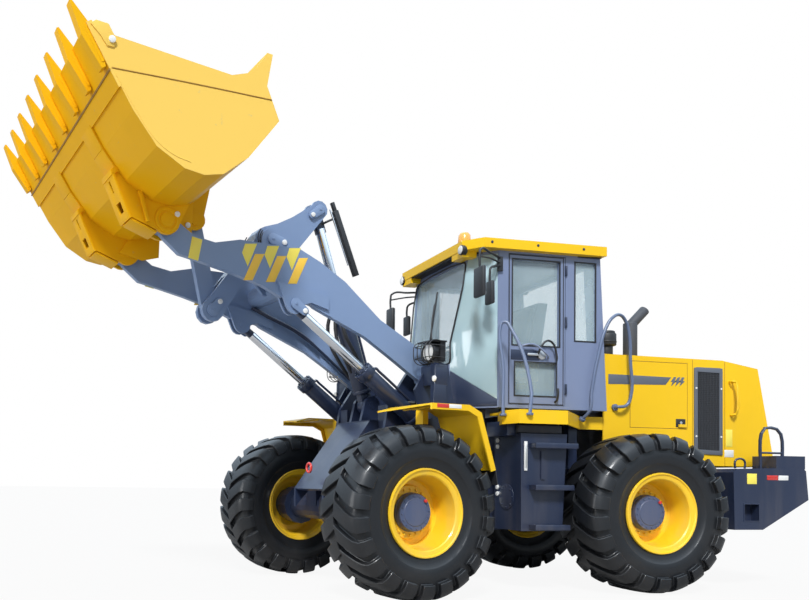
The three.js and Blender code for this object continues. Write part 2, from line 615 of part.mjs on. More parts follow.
function bucket() {
  const shell = side(sheet(BUCKET_BACK, BUCKET_SHEET), -BUCKET_HALF, BUCKET_HALF);
  const guard = side([[3166, 4243], [3119, 4509], [3170, 4513], [3200, 4380], [3215, 4260], [3166, 4210]],
    -BUCKET_HALF, BUCKET_HALF);
  const cheek = side([
    ...BUCKET_BACK, [3119, 4509], [3170, 4513], [3260, 4381], [3340, 4313], [3477, 4269], [4440, 4370],
    [4500, 4450]], BUCKET_HALF - 30, BUCKET_HALF);
  const blade = side([[4400, 3990], [4660, 4420], [4620, 4445], [4365, 4010]], -BUCKET_HALF, BUCKET_HALF);
  const tooth = [
    [4500, 4130], [4530, 4110], [4690, 4330], [4785, 4565], [4770, 4572], [4610, 4400], [4560, 4330]];
  const teeth = Array.from({ length: TEETH }, (_, i) => {
    const y = -1452 + i * 2904 / (TEETH - 1);
    return side(tooth, y - 45, y + 45);
  });
  const ear = side([
    [3480, 3540], ...arc(BUCKET_PIN, 125, 190, 300, 6), [4030, 3300], [4190, 3640], [4120, 3720],
    [3560, 3700]], 0, 36);
  const ears = [458, 655].map((y) => cut(ear.clone().translate(0, y, 0), innerBucket()));
  const armPin = pinY(BUCKET_PIN, 42, 450, 700);
  const linkEar = cut(side([
    [3600, 3500], [3400, 3420], ...arc(LINK_PIN, 100, 280, 150, 6), [3040, 3980], [3300, 3700]], 60, 96),
  innerBucket());
  const linkBoss = pinY(LINK_PIN, 60, 50, 110);
  return join(shell, guard, ...both(cheek), blade, ...teeth,
    ...ears.flatMap(both), ...both(armPin), ...both(linkEar), ...both(linkBoss));
}

// The space inside the bucket's shell.
function innerBucket() {
  const inner = sheet(BUCKET_BACK, BUCKET_SHEET - 4).slice(BUCKET_BACK.length);
  return side([...inner, [3500, 4700]], -1400, 1400);
}

// ---------------------------------------------------------------- cylinders

// A cylinder from its base pin at the origin along +X: hollow barrel, open at its head.
function barrel({ outer, bore, length, eyeHalf, eyeRadius, eyeBore }) {
  const neck = eyeRadius + 65;
  const whole = join(
    pinX([0, 0], outer, neck, length), pinX([0, 0], outer + 14, length - 70, length),
    pinY([0, 0], eyeRadius, -eyeHalf, eyeHalf),
    box([0, neck + 10], [-eyeHalf, eyeHalf], [-eyeRadius * 0.8, eyeRadius * 0.8]));
  return cut(whole, pinX([0, 0], bore, neck + 30, length + 10),
    pinY([0, 0], eyeBore, -eyeHalf - 5, eyeHalf + 5));
}

// The rod that goes with it, from inside the barrel to its own eye at the given distance.
function rod({ radius, start, reach, eyeHalf, eyeRadius, eyeBore }) {
  const neck = reach - eyeRadius - 150;
  const whole = join(
    pinX([0, 0], radius, start, neck), pinY([reach, 0], eyeRadius, -eyeHalf, eyeHalf),
    box([neck - 10, reach], [-eyeHalf, eyeHalf], [-eyeRadius * 0.7, eyeRadius * 0.7]));
  return cut(whole, pinY([reach, 0], eyeBore, -eyeHalf - 5, eyeHalf + 5));
}

const LIFT_LENGTH = Math.hypot(LIFT_EYE[0] - LIFT_BASE[0], LIFT_EYE[1] - LIFT_BASE[1]);
const TILT_LENGTH = Math.hypot(ROCKER_TOP[0] - TILT_BASE[0], ROCKER_TOP[1] - TILT_BASE[1]);
const LIFT_BARREL = { outer: 82, bore: 52, length: 900, eyeHalf: 45, eyeRadius: 85, eyeBore: 43 };
const LIFT_ROD = { radius: 45, start: 690, reach: LIFT_LENGTH, eyeHalf: 26, eyeRadius: 60, eyeBore: 36 };
const TILT_BARREL = { outer: 95, bore: 58, length: 1190, eyeHalf: 50, eyeRadius: 85, eyeBore: 43 };
const TILT_ROD = { radius: 50, start: 850, reach: TILT_LENGTH, eyeHalf: 34, eyeRadius: 80, eyeBore: 42 };

// ---------------------------------------------------------------- assembly

place(rear, 'rear_frame', rearFrame(), framePaint);
place(rear, 'engine_block', engineBlock(), castIron);
place(rear, 'counterweight', counterweight(), framePaint);
place(rear, 'hood', hood(), yellowPaint);
place(rear, 'rear_grille', rearGrille(), blackPlastic);
place(rear, 'exhaust', exhaust(), blackPlastic);
place(rear, 'air_intake', airIntake(), blackPlastic);
place(rear, 'cab_shell', cabShell(), cabPaint);
place(rear, 'cab_roof', cabRoof(), yellowPaint);
place(rear, 'operator_seat', seat(), blackPlastic);
place(rear, 'steering_column', steeringColumn(), blackPlastic);

const glassOpenings = cabOpenings(GAP);
const glassLayer = () => cut(cabVolume(18), cabVolume(26, CAB_FLOOR - 50, CAB_TOP + 50));
place(rear, 'windscreen', common(glassLayer(), glassOpenings.screen), glassPane);
place(rear, 'rear_window', common(glassLayer(), glassOpenings.rearWindow), glassPane);

for (const [name, sign] of SIDES) {
  const sided = (geometry) => (sign > 0 ? geometry : mirrored(geometry));
  place(rear, `corner_glass_${name}`, sided(common(glassLayer(), glassOpenings.cornerSpan)), glassPane);
  place(rear, `side_window_${name}`, sided(common(glassLayer(), glassOpenings.sideWindow)), glassPane);
  place(rear, `cab_door_${name}`, sided(cabDoor()), cabPaint);
  place(rear, `door_glass_${name}`, sided(doorGlass()), glassPane);
  place(rear, `hood_door_${name}`, sided(hoodDoor()), yellowPaint);
  place(rear, `step_tank_${name}`, sided(stepTank()), framePaint);
  place(rear, `platform_${name}`, sided(platform()), yellowPaint);
  place(rear, `front_rail_${name}`, sided(frontRail()), cabPaint);
  place(rear, `rear_rail_${name}`, sided(rearRail()), cabPaint);
  place(rear, `mirror_${name}`, sided(mirror()), blackPlastic);
  place(front, `front_fender_${name}`, sided(fender()), yellowPaint);
  const liftLine = (geometry) => alongLine(geometry, LIFT_BASE, LIFT_EYE, sign * CYLINDER_Y);
  place(front, `lift_barrel_${name}`, liftLine(barrel(LIFT_BARREL)), framePaint);
  place(front, `lift_rod_${name}`, liftLine(rod(LIFT_ROD)), chrome);
}

place(front, 'front_frame', frontFrame(), framePaint);
place(front, 'boom', boom(), armPaint);
place(front, 'rocker', rocker(), armPaint);
place(front, 'bucket_link', bucketLink(), armPaint);
place(front, 'bucket', bucket(), bucketPaint);
place(front, 'tilt_barrel', alongLine(barrel(TILT_BARREL), TILT_BASE, ROCKER_TOP, 0), framePaint);
place(front, 'tilt_rod', alongLine(rod(TILT_ROD), TILT_BASE, ROCKER_TOP, 0), chrome);

placeAxleSet(rear, 'rear', REAR_AXLE_X, true);
placeAxleSet(front, 'front', FRONT_AXLE_X, false);

// The origin goes to the middle of the bottom of the bounding box.
loader.updateMatrixWorld(true);
const bounds = new THREE.Box3().setFromObject(loader, true);
const middle = bounds.getCenter(new THREE.Vector3());
const group = new THREE.Group();
loader.position.set(-middle.x, -middle.y, -bounds.min.z);
group.add(loader);

export default group;
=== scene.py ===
# %% [markdown]
# # An articulated wheel loader, from frame to finish
#
# The engineering model of the machine already exists: its plates, pins, wheels and glass, each riding on the
# body that it moves with. This lesson dresses it. Pieces whose engineered shape is right keep it and get a
# finish. Pieces that are only stand-ins there, such as smooth tyres and six-sided handrails, are modelled
# again in full.

# %% Load the frame
import json
import math
import bpy
from mathutils import Matrix, Vector


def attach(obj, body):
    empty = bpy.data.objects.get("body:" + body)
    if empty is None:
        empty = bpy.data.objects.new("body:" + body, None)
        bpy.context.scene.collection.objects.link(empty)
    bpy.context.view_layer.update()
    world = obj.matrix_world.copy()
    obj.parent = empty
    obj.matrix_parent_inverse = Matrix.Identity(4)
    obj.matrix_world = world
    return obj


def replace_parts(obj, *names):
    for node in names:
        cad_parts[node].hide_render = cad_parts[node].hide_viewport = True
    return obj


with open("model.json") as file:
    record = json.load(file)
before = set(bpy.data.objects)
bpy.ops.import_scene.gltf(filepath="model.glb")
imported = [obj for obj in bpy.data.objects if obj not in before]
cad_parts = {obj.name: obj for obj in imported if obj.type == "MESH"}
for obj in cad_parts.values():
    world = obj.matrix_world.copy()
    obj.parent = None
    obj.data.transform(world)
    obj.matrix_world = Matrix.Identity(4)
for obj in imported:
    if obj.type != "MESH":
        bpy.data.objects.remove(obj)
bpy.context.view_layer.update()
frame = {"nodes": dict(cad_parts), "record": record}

# %% [markdown]
# ## Two places to work in
#
# A loader bends at its waist, so its front half stands turned against its rear half. Nobody would model a
# bucket on a slant. Each piece is shaped square to its own half, and one matrix then carries its mesh to
# where that half stands.

# %% The two halves' places
WAIST = Vector((-0.730571, -0.477698, 0.0))
STEER = math.radians(10.94)
REAR = Matrix.Translation(WAIST)
FRONT = REAR @ Matrix.Rotation(STEER, 4, "Z")
SIDES = (("left", 1), ("right", -1))
print("front half is turned by", round(math.degrees(STEER), 2), "degrees")

# %% [markdown]
# ## The camera
#
# It stands at tyre height, ahead of the machine's left side, and looks back and slightly up, which makes the
# raised bucket loom. Its three axes are worked out from a heading, a pitch and a small roll.

# %% Camera
HEADING, PITCH, ROLL = -1.77978, 0.02503, 0.014735
LENS, SENSOR = 36.66349, 36.0
LENS_SHIFT = (0.242, 0.195)
STAND = (3.8689, 7.9247, 1.0808)
ahead = Vector((math.cos(PITCH) * math.cos(HEADING), math.cos(PITCH) * math.sin(HEADING), math.sin(PITCH)))
level = Vector((math.sin(HEADING), -math.cos(HEADING), 0.0))
upright = level.cross(ahead)
right = level * math.cos(ROLL) + upright * math.sin(ROLL)
up = upright * math.cos(ROLL) - level * math.sin(ROLL)
camera_data = bpy.data.cameras.new("camera")
camera = bpy.data.objects.new("camera", camera_data)
bpy.context.scene.collection.objects.link(camera)
camera.matrix_world = Matrix.Translation(STAND) @ Matrix(
    (right, up, -ahead)).transposed().to_4x4()
camera_data.sensor_width = SENSOR
camera_data.lens = LENS
camera_data.shift_x, camera_data.shift_y = LENS_SHIFT
camera_data.clip_end = 400
bpy.context.scene.camera = camera
print("lens", round(camera_data.lens, 2), "mm")

# %% [markdown]
# ## Light and floor
#
# A machine yard on a bright hazy day. A broad key sun stands high at the front left, and a low, even softer
# one fills in from the front, because the raised bucket's belly would stay dark without it. The sky is even
# for matt surfaces. A glossy one sees a graded, bluer sky, bright overhead and dark at the horizon, which is
# what gives paint and glass their shape, and the camera itself sees a white backdrop. Light paths tell the
# three kinds of ray apart.

# %% Sun, sky and floor
scene = bpy.context.scene
scene.view_settings.view_transform = "Standard"


def sun(name, energy, heading, height, spread):
    data = bpy.data.lights.new(name, "SUN")
    data.energy, data.angle = energy, math.radians(spread)
    lamp = bpy.data.objects.new(name, data)
    lamp.rotation_euler = (math.radians(90 - height), 0, math.radians(heading))
    scene.collection.objects.link(lamp)
    return lamp


sun("key_sun", 3.4, 153, 44, 10)
sun("front_fill", 1.15, 97, 10, 30)

world = bpy.data.worlds.new("sky")
scene.world = world
world.use_nodes = True
sky = world.node_tree
sky.nodes.clear()
lit = sky.nodes.new("ShaderNodeBackground")
lit.inputs["Color"].default_value = (0.86, 0.93, 1.0, 1)
lit.inputs["Strength"].default_value = 0.42
white = sky.nodes.new("ShaderNodeBackground")
white.inputs["Color"].default_value = (1, 1, 1, 1)
white.inputs["Strength"].default_value = 1.0
gleam = sky.nodes.new("ShaderNodeBackground")
gleam.inputs["Color"].default_value = (0.70, 0.85, 1.0, 1)
heaven = sky.nodes.new("ShaderNodeTexCoord")
level = sky.nodes.new("ShaderNodeSeparateXYZ")
grade = sky.nodes.new("ShaderNodeMapRange")
for name, value in (("From Min", -0.05), ("From Max", 0.75), ("To Min", 0.06), ("To Max", 2.3)):
    grade.inputs[name].default_value = value
softened = sky.nodes.new("ShaderNodeMixShader")
rays = sky.nodes.new("ShaderNodeLightPath")
shown = sky.nodes.new("ShaderNodeMath")
shown.operation = "MAXIMUM"
either = sky.nodes.new("ShaderNodeMixShader")
result = sky.nodes.new("ShaderNodeOutputWorld")
sky.links.new(rays.outputs["Is Camera Ray"], shown.inputs[0])
sky.links.new(rays.outputs["Is Transmission Ray"], shown.inputs[1])
sky.links.new(shown.outputs[0], either.inputs["Fac"])
sky.links.new(heaven.outputs["Generated"], level.inputs[0])
sky.links.new(level.outputs["Z"], grade.inputs["Value"])
sky.links.new(grade.outputs[0], gleam.inputs["Strength"])
sky.links.new(rays.outputs["Is Glossy Ray"], softened.inputs["Fac"])
sky.links.new(lit.outputs[0], softened.inputs[1])
sky.links.new(gleam.outputs[0], softened.inputs[2])
sky.links.new(softened.outputs[0], either.inputs[1])
sky.links.new(white.outputs[0], either.inputs[2])
sky.links.new(either.outputs[0], result.inputs[0])

# %% [markdown]
# ## A notebook for materials
#
# A material is a graph of nodes, and its maths reads badly as one. Here one small class wraps a socket and
# overloads the operators, so that `dust = low * (1 - rain)` makes the Math nodes itself. Colours go through
# Mix nodes instead, because a Math node would turn them grey.


# %% Flow and Finish
class Flow:
    """One output socket, on which Python's operators make Math nodes."""

    def __init__(self, finish, socket):
        self.finish, self.socket = finish, socket

    def maths(self, operation, *values):
        return self.finish.node("ShaderNodeMath", {"operation": operation}, dict(enumerate(values)))

    def __add__(self, other):
        return self.maths("ADD", self, other)

    def __mul__(self, other):
        return self.maths("MULTIPLY", self, other)

    __radd__, __rmul__ = __add__, __mul__

    def step(self, low, high):
        """0 below low, 1 above high and smooth between; the other way round if low is the larger."""
        return self.finish.node("ShaderNodeMapRange", {"interpolation_type": "SMOOTHSTEP"},
                                {"Value": self, "From Min": low, "From Max": high})


class Finish:
    """A principled material, with one method that makes any node."""

    def __init__(self, name, **constants):
        self.material = bpy.data.materials.new(name)
        self.material.use_nodes = True
        self.tree = self.material.node_tree
        self.shader = self.tree.nodes["Principled BSDF"]
        self.set(**constants)
        self.place = self.node("ShaderNodeTexCoord", output="Object")
        self.height = self.node("ShaderNodeSeparateXYZ", None, {"Vector": self.place}, "Z")

    def set(self, **sockets):
        for name, value in sockets.items():
            socket = self.shader.inputs[name.replace("_", " ")]
            if isinstance(value, Flow):
                self.tree.links.new(value.socket, socket)
            else:
                socket.default_value = (*value, 1) if isinstance(value, tuple) else value

    def node(self, kind, settings=None, inputs=None, output=0):
        made = self.tree.nodes.new(kind)
        for name, value in (settings or {}).items():
            setattr(made, name, value)
        for name, value in (inputs or {}).items():
            if isinstance(value, Flow):
                self.tree.links.new(value.socket, made.inputs[name])
            else:
                made.inputs[name].default_value = value
        return Flow(self, made.outputs[output])

    def noise(self, scale, detail=3.0, roughness=0.55, stretch=(1, 1, 1)):
        where = self.node("ShaderNodeMapping", None, {"Vector": self.place, "Scale": stretch})
        return self.node("ShaderNodeTexNoise", None, {
            "Vector": where, "Scale": scale, "Detail": detail, "Roughness": roughness})

    def mix(self, share, first, second):
        def coloured(value):
            return (*value, 1) if isinstance(value, tuple) else value
        return self.node("ShaderNodeMix", {"data_type": "RGBA"},
                         {0: share, 6: coloured(first), 7: coloured(second)}, 2)

    def bump(self, height, strength, distance=0.002):
        self.set(Normal=self.node("ShaderNodeBump", None, {
            "Strength": strength, "Distance": distance, "Height": height}))


def tone(colour, factor):
    return tuple(min(1.0, channel * factor) for channel in colour)


print("finish maker ready")

# %% [markdown]
# ## Paint
#
# Machine paint is sprayed over plate: glossy, with a faint orange peel, a little lighter where weather has
# dulled it, and with dust that settles low down and washes off in streaks. One function makes every paint of
# the loader from its colour, so all of them share that story. A band is a second colour over part of a piece,
# such as the bucket's paler cheeks, which are painted light. Chips to bare steel are only asked for where the
# machine digs.

# %% The paints
DUST = (0.36, 0.31, 0.25)
STEEL = (0.42, 0.41, 0.40)


def paint(name, colour, gloss=0.3, dust=0.22, chips=0.0, coat=0.25, shine=0.5, bands=()):
    """A machine paint. Each band paints another colour over it, where its share (made by a function) is 1."""
    finish = Finish(name, Coat_Weight=coat, Coat_Roughness=0.12, Specular_IOR_Level=shine)
    cloud = finish.noise(0.9, 4)
    grain = finish.noise(38, 3)
    streak = finish.noise(5, 3, stretch=(1, 1, 0.12))
    low = finish.height.step(2.4, 0.2)
    grime = (low * streak.step(0.42, 0.75) * 0.7 + cloud.step(0.55, 0.8) * 0.25) * dust
    aged = finish.mix(cloud.step(0.25, 0.8), tone(colour, 0.93), tone(colour, 1.05))
    for share, other in bands:
        aged = finish.mix(share(finish), aged, other)
    dirty = finish.mix(grime, aged, DUST)
    rough = gloss + 0.10 * grain + 0.35 * grime
    if chips:
        flake = finish.noise(17, 6, 0.7)
        scratch = finish.noise(9, 5, 0.6, stretch=(0.25, 6, 1))
        bare = flake.step(0.66, 0.70) * chips + scratch.step(0.68, 0.72) * chips * 0.7
        dirty = finish.mix(bare, dirty, STEEL)
        finish.set(Metallic=bare * 0.8)
    finish.set(Base_Color=dirty, Roughness=rough)
    finish.bump(finish.noise(260, 2) + 0.6 * cloud, 0.05)
    return finish.material


YELLOW, DEEP_YELLOW, CHEEK_LIGHT_YELLOW = (0.93, 0.575, 0.016), (0.90, 0.475, 0.006), (0.93, 0.62, 0.13)
# The first two of these are one slate paint, given twice: with painted light for the arms, and with painted
# shade for the frame and the fenders' tops.
LIT_SLATE, SHADED_SLATE, LILAC = (0.200, 0.290, 0.480), (0.017, 0.027, 0.062), (0.190, 0.240, 0.385)
CHEEK_FACE = 1.502


def paint_light_on_cheeks(finish):
    """1 on the bucket's two outer side faces, where a paler yellow is painted on as painted light, since they
    are lit more than the belly.
    """
    across = finish.node("ShaderNodeSeparateXYZ", None, {"Vector": finish.node(
        "ShaderNodeMapping", {"vector_type": "TEXTURE"},
        {"Vector": finish.place, "Location": FRONT.translation, "Rotation": FRONT.to_euler()})}, "Y")
    return across.maths("ABSOLUTE", across).step(CHEEK_FACE, CHEEK_FACE + 0.002)


yellow_paint = paint("yellow_paint", YELLOW, coat=0.10, shine=0.2)
# The bucket's band paints its two cheeks a paler yellow: painted light, as they are lit more than the rest of
# the bucket.
bucket_paint = paint("bucket_paint", DEEP_YELLOW, gloss=0.36, dust=0.08, chips=0.25, coat=0.0, shine=0.12,
                     bands=((paint_light_on_cheeks, CHEEK_LIGHT_YELLOW),))
# arm_paint and frame_paint are the same slate paint: the arms' copy has light painted in, the frame's copy
# has shade painted in.
arm_paint = paint("arm_paint", LIT_SLATE, gloss=0.34, dust=0.12)
frame_paint = paint("frame_paint", SHADED_SLATE, gloss=0.30, dust=0.14)
cab_paint = paint("cab_paint", LILAC, gloss=0.34)
rim_paint = paint("rim_paint", YELLOW, gloss=0.36, dust=0.32)
hub_paint = paint("hub_paint", (0.062, 0.088, 0.175), gloss=0.42, dust=0.15)
rail_paint = paint("rail_paint", (0.115, 0.155, 0.260), gloss=0.25, dust=0.10)
cast_iron = paint("cast_iron", (0.055, 0.060, 0.072), gloss=0.6, dust=0.4, coat=0.0)
print("paints:", [m.name for m in bpy.data.materials if m.name.endswith("paint")])

# %% [markdown]
# ## Rubber, plastic, chrome, cloth and glass
#
# Tyre rubber is never pure black: dust greys its tread and it has fine moulded grain. Black plastic and hoses
# are the same idea, finer. A cylinder's rod is hard chrome with faint rings from its seal. The windows are
# tinted sheet, and a thin sheet needs no refraction: partly clear, with a clean gloss, lets the sky show on
# it and the seat show through.


# %% The other finishes
def plain(name, colour, roughness, grain=60, depth=0.15, spread=0.25, **constants):
    finish = Finish(name, **constants)
    cloud, fine = finish.noise(3, 4), finish.noise(grain, 3)
    finish.set(Base_Color=finish.mix(cloud, tone(colour, 1 - spread), tone(colour, 1 + spread)),
               Roughness=roughness + 0.15 * fine)
    finish.bump(fine, depth)
    return finish


def rubber(name, colour):
    finish = Finish(name, Coat_Weight=0.32, Coat_Roughness=0.20, Specular_IOR_Level=0.35)
    cloud, fine = finish.noise(2.2, 5), finish.noise(120, 4)
    soil = finish.height.step(1.5, 0.0) * cloud.step(0.4, 0.75) * 0.08
    finish.set(Base_Color=finish.mix(soil, finish.mix(fine, tone(colour, 0.7), tone(colour, 1.5)),
                                     (0.16, 0.14, 0.12)),
               Roughness=0.38 + 0.25 * fine + 0.25 * soil)
    finish.bump(fine + finish.noise(24, 3), 0.25)
    return finish.material


tyre_rubber = rubber("tyre_rubber", (0.006, 0.007, 0.009))
black_plastic = plain("black_plastic", (0.018, 0.019, 0.022), 0.42, depth=0.08).material
hose_rubber = plain("hose_rubber", (0.014, 0.014, 0.016), 0.5, grain=90).material
zinc_steel = plain("zinc_steel", (0.62, 0.63, 0.64), 0.28, spread=0.12, Metallic=0.85).material
grey_mark = plain("grey_mark", (0.115, 0.130, 0.160), 0.4, spread=0.08).material
lamp_white = plain("lamp_white", (0.82, 0.83, 0.82), 0.12, grain=25, spread=0.1, Coat_Weight=0.8).material
amber = plain("amber_lens", (0.90, 0.42, 0.04), 0.12, Coat_Weight=0.5).material
red_lens = plain("red_lens", (0.62, 0.03, 0.02), 0.15, Coat_Weight=0.8).material
mirror_face = plain("mirror_face", (0.75, 0.78, 0.80), 0.03, spread=0.05, depth=0.0, Metallic=1.0).material

chrome = Finish("chrome_rod", Metallic=1.0)
rings = chrome.noise(14, 3, stretch=(1, 1, 1))
chrome.set(Base_Color=chrome.mix(rings, (0.70, 0.72, 0.76), (0.86, 0.87, 0.90)),
           Roughness=0.10 + 0.10 * rings)
chrome_rod = chrome.material

seat = Finish("seat_cloth", Sheen_Weight=0.3)
weave = seat.node("ShaderNodeTexWave", {"wave_type": "BANDS", "bands_direction": "DIAGONAL"}, {
    "Vector": seat.place, "Scale": 90.0, "Distortion": 1.5, "Detail": 2.0}, 1)
seat.set(Base_Color=seat.mix(weave, (0.018, 0.022, 0.026), (0.055, 0.065, 0.072)),
         Roughness=0.8 + 0.1 * weave)
seat.bump(weave, 0.4)
seat_cloth = seat.material

glass = Finish("cab_glass", IOR=1.5, Specular_IOR_Level=0.8, Coat_Weight=0.6, Coat_Roughness=0.03)
haze = glass.noise(1.6, 4)
glass.set(Base_Color=glass.mix(haze, (0.55, 0.74, 0.82), (0.70, 0.88, 0.95)), Roughness=0.04 + 0.05 * haze,
          Alpha=0.20 + 0.20 * haze)
cab_glass = glass.material
bonded = Finish("bonded_glass", IOR=1.5, Coat_Weight=0.8, Coat_Roughness=0.03)
haze = bonded.noise(1.3, 4)
bonded.set(Base_Color=bonded.mix(haze, (0.34, 0.50, 0.56), (0.54, 0.72, 0.77)), Roughness=0.05 + 0.05 * haze,
           Alpha=0.80 + 0.10 * haze)
bonded_glass = bonded.material
print("finishes:", len(bpy.data.materials))

# %% [markdown]
# ## Finishing the engineered nodes
#
# Every node of the record names the slot that its finish comes from, and the same word finds the material
# here. The front fenders carry the head lamps' posts in the same node, so their paint changes with height:
# yellow up to the fender's crown, the slate paint with painted shade above it, and black from the lamp's foot
# up.

# %% Node finishes
BLACK = (0.018, 0.019, 0.022)
FENDER_TOP, LAMP_FOOT = 1.800, 2.240


def above(height):
    return lambda finish: finish.height.step(height - 0.005, height + 0.005)


# Above the fender's crown the band is the slate paint's copy with painted shade.
fender_paint = paint("fender_paint", YELLOW, coat=0.10, shine=0.25,
                     bands=((above(FENDER_TOP), SHADED_SLATE), (above(LAMP_FOOT), BLACK)))
finish_of_node = {"front_fender_left": fender_paint, "front_fender_right": fender_paint}
finish_of_slot = {
    "frame_paint": frame_paint, "yellow_paint": yellow_paint, "bucket_paint": bucket_paint,
    "arm_paint": arm_paint, "cab_paint": cab_paint, "tyre_rubber": tyre_rubber, "rim_paint": rim_paint,
    "chrome_rod": chrome_rod, "black_plastic": black_plastic, "cab_glass": cab_glass,
    "cast_iron": cast_iron, "seat_cloth": seat_cloth}
for part in frame["record"]["subparts"]:
    node = frame["nodes"][part["node"]]
    node.data.materials.clear()
    node.data.materials.append(finish_of_node.get(part["node"], finish_of_slot[part["material_slot"]]))

# %% [markdown]
# ## Helpers for modelling
#
# An operator acts on everything that is selected, so each piece starts from nothing selected. `settle` ends
# each one: it carries the mesh to the half of the machine that its body belongs to, names it, and gives it a
# finish and a body to ride on. The engineered nodes came with materials of the same names, so Blender numbers
# these. A table keeps the record's slot of each finish under the finish's own name.


# %% Selecting and settling
def clear_selection():
    if bpy.context.mode != "OBJECT":
        bpy.ops.object.mode_set(mode="OBJECT")
    bpy.ops.object.select_all(action="DESELECT")


def only(piece):
    clear_selection()
    piece.select_set(True)
    bpy.context.view_layer.objects.active = piece
    return piece


def apply_place(piece):
    only(piece)
    bpy.ops.object.transform_apply(location=True, rotation=True, scale=True)
    return piece


def apply_modifier(piece, kind, **settings):
    only(piece)
    modifier = piece.modifiers.new(kind.lower(), kind)
    for name, value in settings.items():
        setattr(modifier, name, value)
    bpy.ops.object.modifier_apply(modifier=modifier.name)
    return piece


def join(pieces):
    clear_selection()
    for piece in pieces:
        piece.select_set(True)
    bpy.context.view_layer.objects.active = pieces[0]
    bpy.ops.object.join()
    return pieces[0]


def copy(piece, matrix=Matrix.Identity(4)):
    twin = piece.copy()
    twin.data = piece.data.copy()
    scene.collection.objects.link(twin)
    twin.data.transform(matrix)
    if matrix.determinant() < 0:
        twin.data.flip_normals()
    return twin


def outwards(piece, merge=0.0):
    only(piece)
    bpy.ops.object.mode_set(mode="EDIT")
    bpy.ops.mesh.select_all(action="SELECT")
    if merge:
        bpy.ops.mesh.remove_doubles(threshold=merge)
    bpy.ops.mesh.normals_make_consistent(inside=False)
    bpy.ops.object.mode_set(mode="OBJECT")
    return piece


FRONT_BODIES = ("front", "boom", "bucket", "rocker", "tilt", "lift")
slot_of_finish = {finish.name: slot for slot, finish in finish_of_slot.items()}
slot_of_finish.update(hub_paint="frame_paint", rail_paint="cab_paint", weld_seam="bucket_paint",
                      seam_paint="yellow_paint")


def settle(piece, name, finish, body, half=None, angle=35):
    only(piece)
    piece.data.transform(half or (FRONT if body.startswith(FRONT_BODIES) else REAR))
    bpy.ops.object.shade_smooth_by_angle(angle=math.radians(angle))
    piece.name = name
    piece.data.materials.clear()
    piece.data.materials.append(finish)
    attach(piece, body)
    return piece


MIRROR = Matrix.Scale(-1, 4, Vector((0, 1, 0)))


def on_sides(piece, name, finish, body):
    """Settles a piece of the left side and its mirrored twin of the right side."""
    twin = copy(piece, MIRROR)
    for one, side in ((piece, "left"), (twin, "right")):
        settle(one, f"{name}_{side}", finish, body.replace("SIDE", side))


# %% [markdown]
# Four kinds of blank make almost everything on a machine like this: a block and a drum with their edges
# broken, a plate cut to an outline, a tube bent along a path, and a profile spun round an axle.


# %% Blanks
def block(centre, size, edge=0.004, turn=(0, 0, 0)):
    clear_selection()
    bpy.ops.mesh.primitive_cube_add(size=1, location=centre, rotation=turn)
    piece = bpy.context.object
    piece.scale = size
    apply_place(piece)
    return apply_modifier(piece, "BEVEL", width=edge, segments=2) if edge else piece


def drum(start, end, radius, edge=0.004, sides=32):
    start, end = Vector(start), Vector(end)
    clear_selection()
    bpy.ops.mesh.primitive_cylinder_add(vertices=sides, radius=radius, depth=(end - start).length,
                                        location=(start + end) / 2,
                                        rotation=(end - start).to_track_quat("Z", "Y").to_euler())
    piece = apply_place(bpy.context.object)
    return apply_modifier(piece, "BEVEL", width=edge, segments=2, limit_method="ANGLE") if edge else piece


def curve_piece(splines, **settings):
    clear_selection()
    data = bpy.data.curves.new("path", "CURVE")
    for name, value in settings.items():
        setattr(data, name, value)
    for kind, points, closed in splines:
        line = data.splines.new(kind)
        if kind == "BEZIER":
            line.bezier_points.add(len(points) - 1)
            for knot, point in zip(line.bezier_points, points):
                knot.co, knot.handle_left_type, knot.handle_right_type = point, "AUTO", "AUTO"
        else:
            line.points.add(len(points) - 1)
            for knot, point in zip(line.points, points):
                knot.co = (*point, 1)
        line.use_cyclic_u = closed
    piece = bpy.data.objects.new("path", data)
    scene.collection.objects.link(piece)
    only(piece)
    bpy.ops.object.convert(target="MESH")
    return bpy.context.object


def tube(points, radius, closed=False, smooth=6):
    """A round bar along a smooth path through the points."""
    piece = curve_piece([("BEZIER", points, closed)], dimensions="3D", bevel_depth=radius, bevel_resolution=4,
                        resolution_u=smooth, use_fill_caps=True)
    return outwards(piece, 0.0001)


def plate(outline, low, high, edge=0.003, holes=(), across="XZ"):
    """A plate of an [X, Z] outline that spans low to high in Y, or of an [X, Y] one between two heights."""
    middle, half = (low + high) / 2, (high - low) / 2
    loops = [("POLY", [(a, b, 0) for a, b in loop], True) for loop in (outline, *holes)]
    piece = curve_piece(loops, dimensions="2D", fill_mode="BOTH", extrude=half - edge, bevel_depth=edge,
                        bevel_resolution=1, offset=-edge)
    if across == "XZ":
        piece.data.transform(Matrix.Translation((0, middle, 0)) @ Matrix.Rotation(math.pi / 2, 4, "X"))
    else:
        piece.data.transform(Matrix.Translation((0, 0, middle)))
    return outwards(piece, 0.0001)


def spun(profile, steps=64, closed=True, twist=None):
    """A profile of [Y, radius] points spun round the Y axis. A twist, in radians at each point, slants it."""
    points = [(r * math.sin(twist[i] if twist else 0), y, r * math.cos(twist[i] if twist else 0))
              for i, (y, r) in enumerate(profile)]
    piece = curve_piece([("POLY", points, closed)], dimensions="3D")
    only(piece)
    bpy.ops.object.mode_set(mode="EDIT")
    bpy.ops.mesh.select_all(action="SELECT")
    bpy.ops.mesh.spin(steps=steps, angle=2 * math.pi, center=(0, 0, 0), axis=(0, 1, 0))
    bpy.ops.object.mode_set(mode="OBJECT")
    return outwards(piece, 0.0004)


def ring_of(piece, count, axis="Y", start=0.0):
    return join([copy(piece, Matrix.Rotation(start + 2 * math.pi * i / count, 4, axis))
                 for i in range(count)])


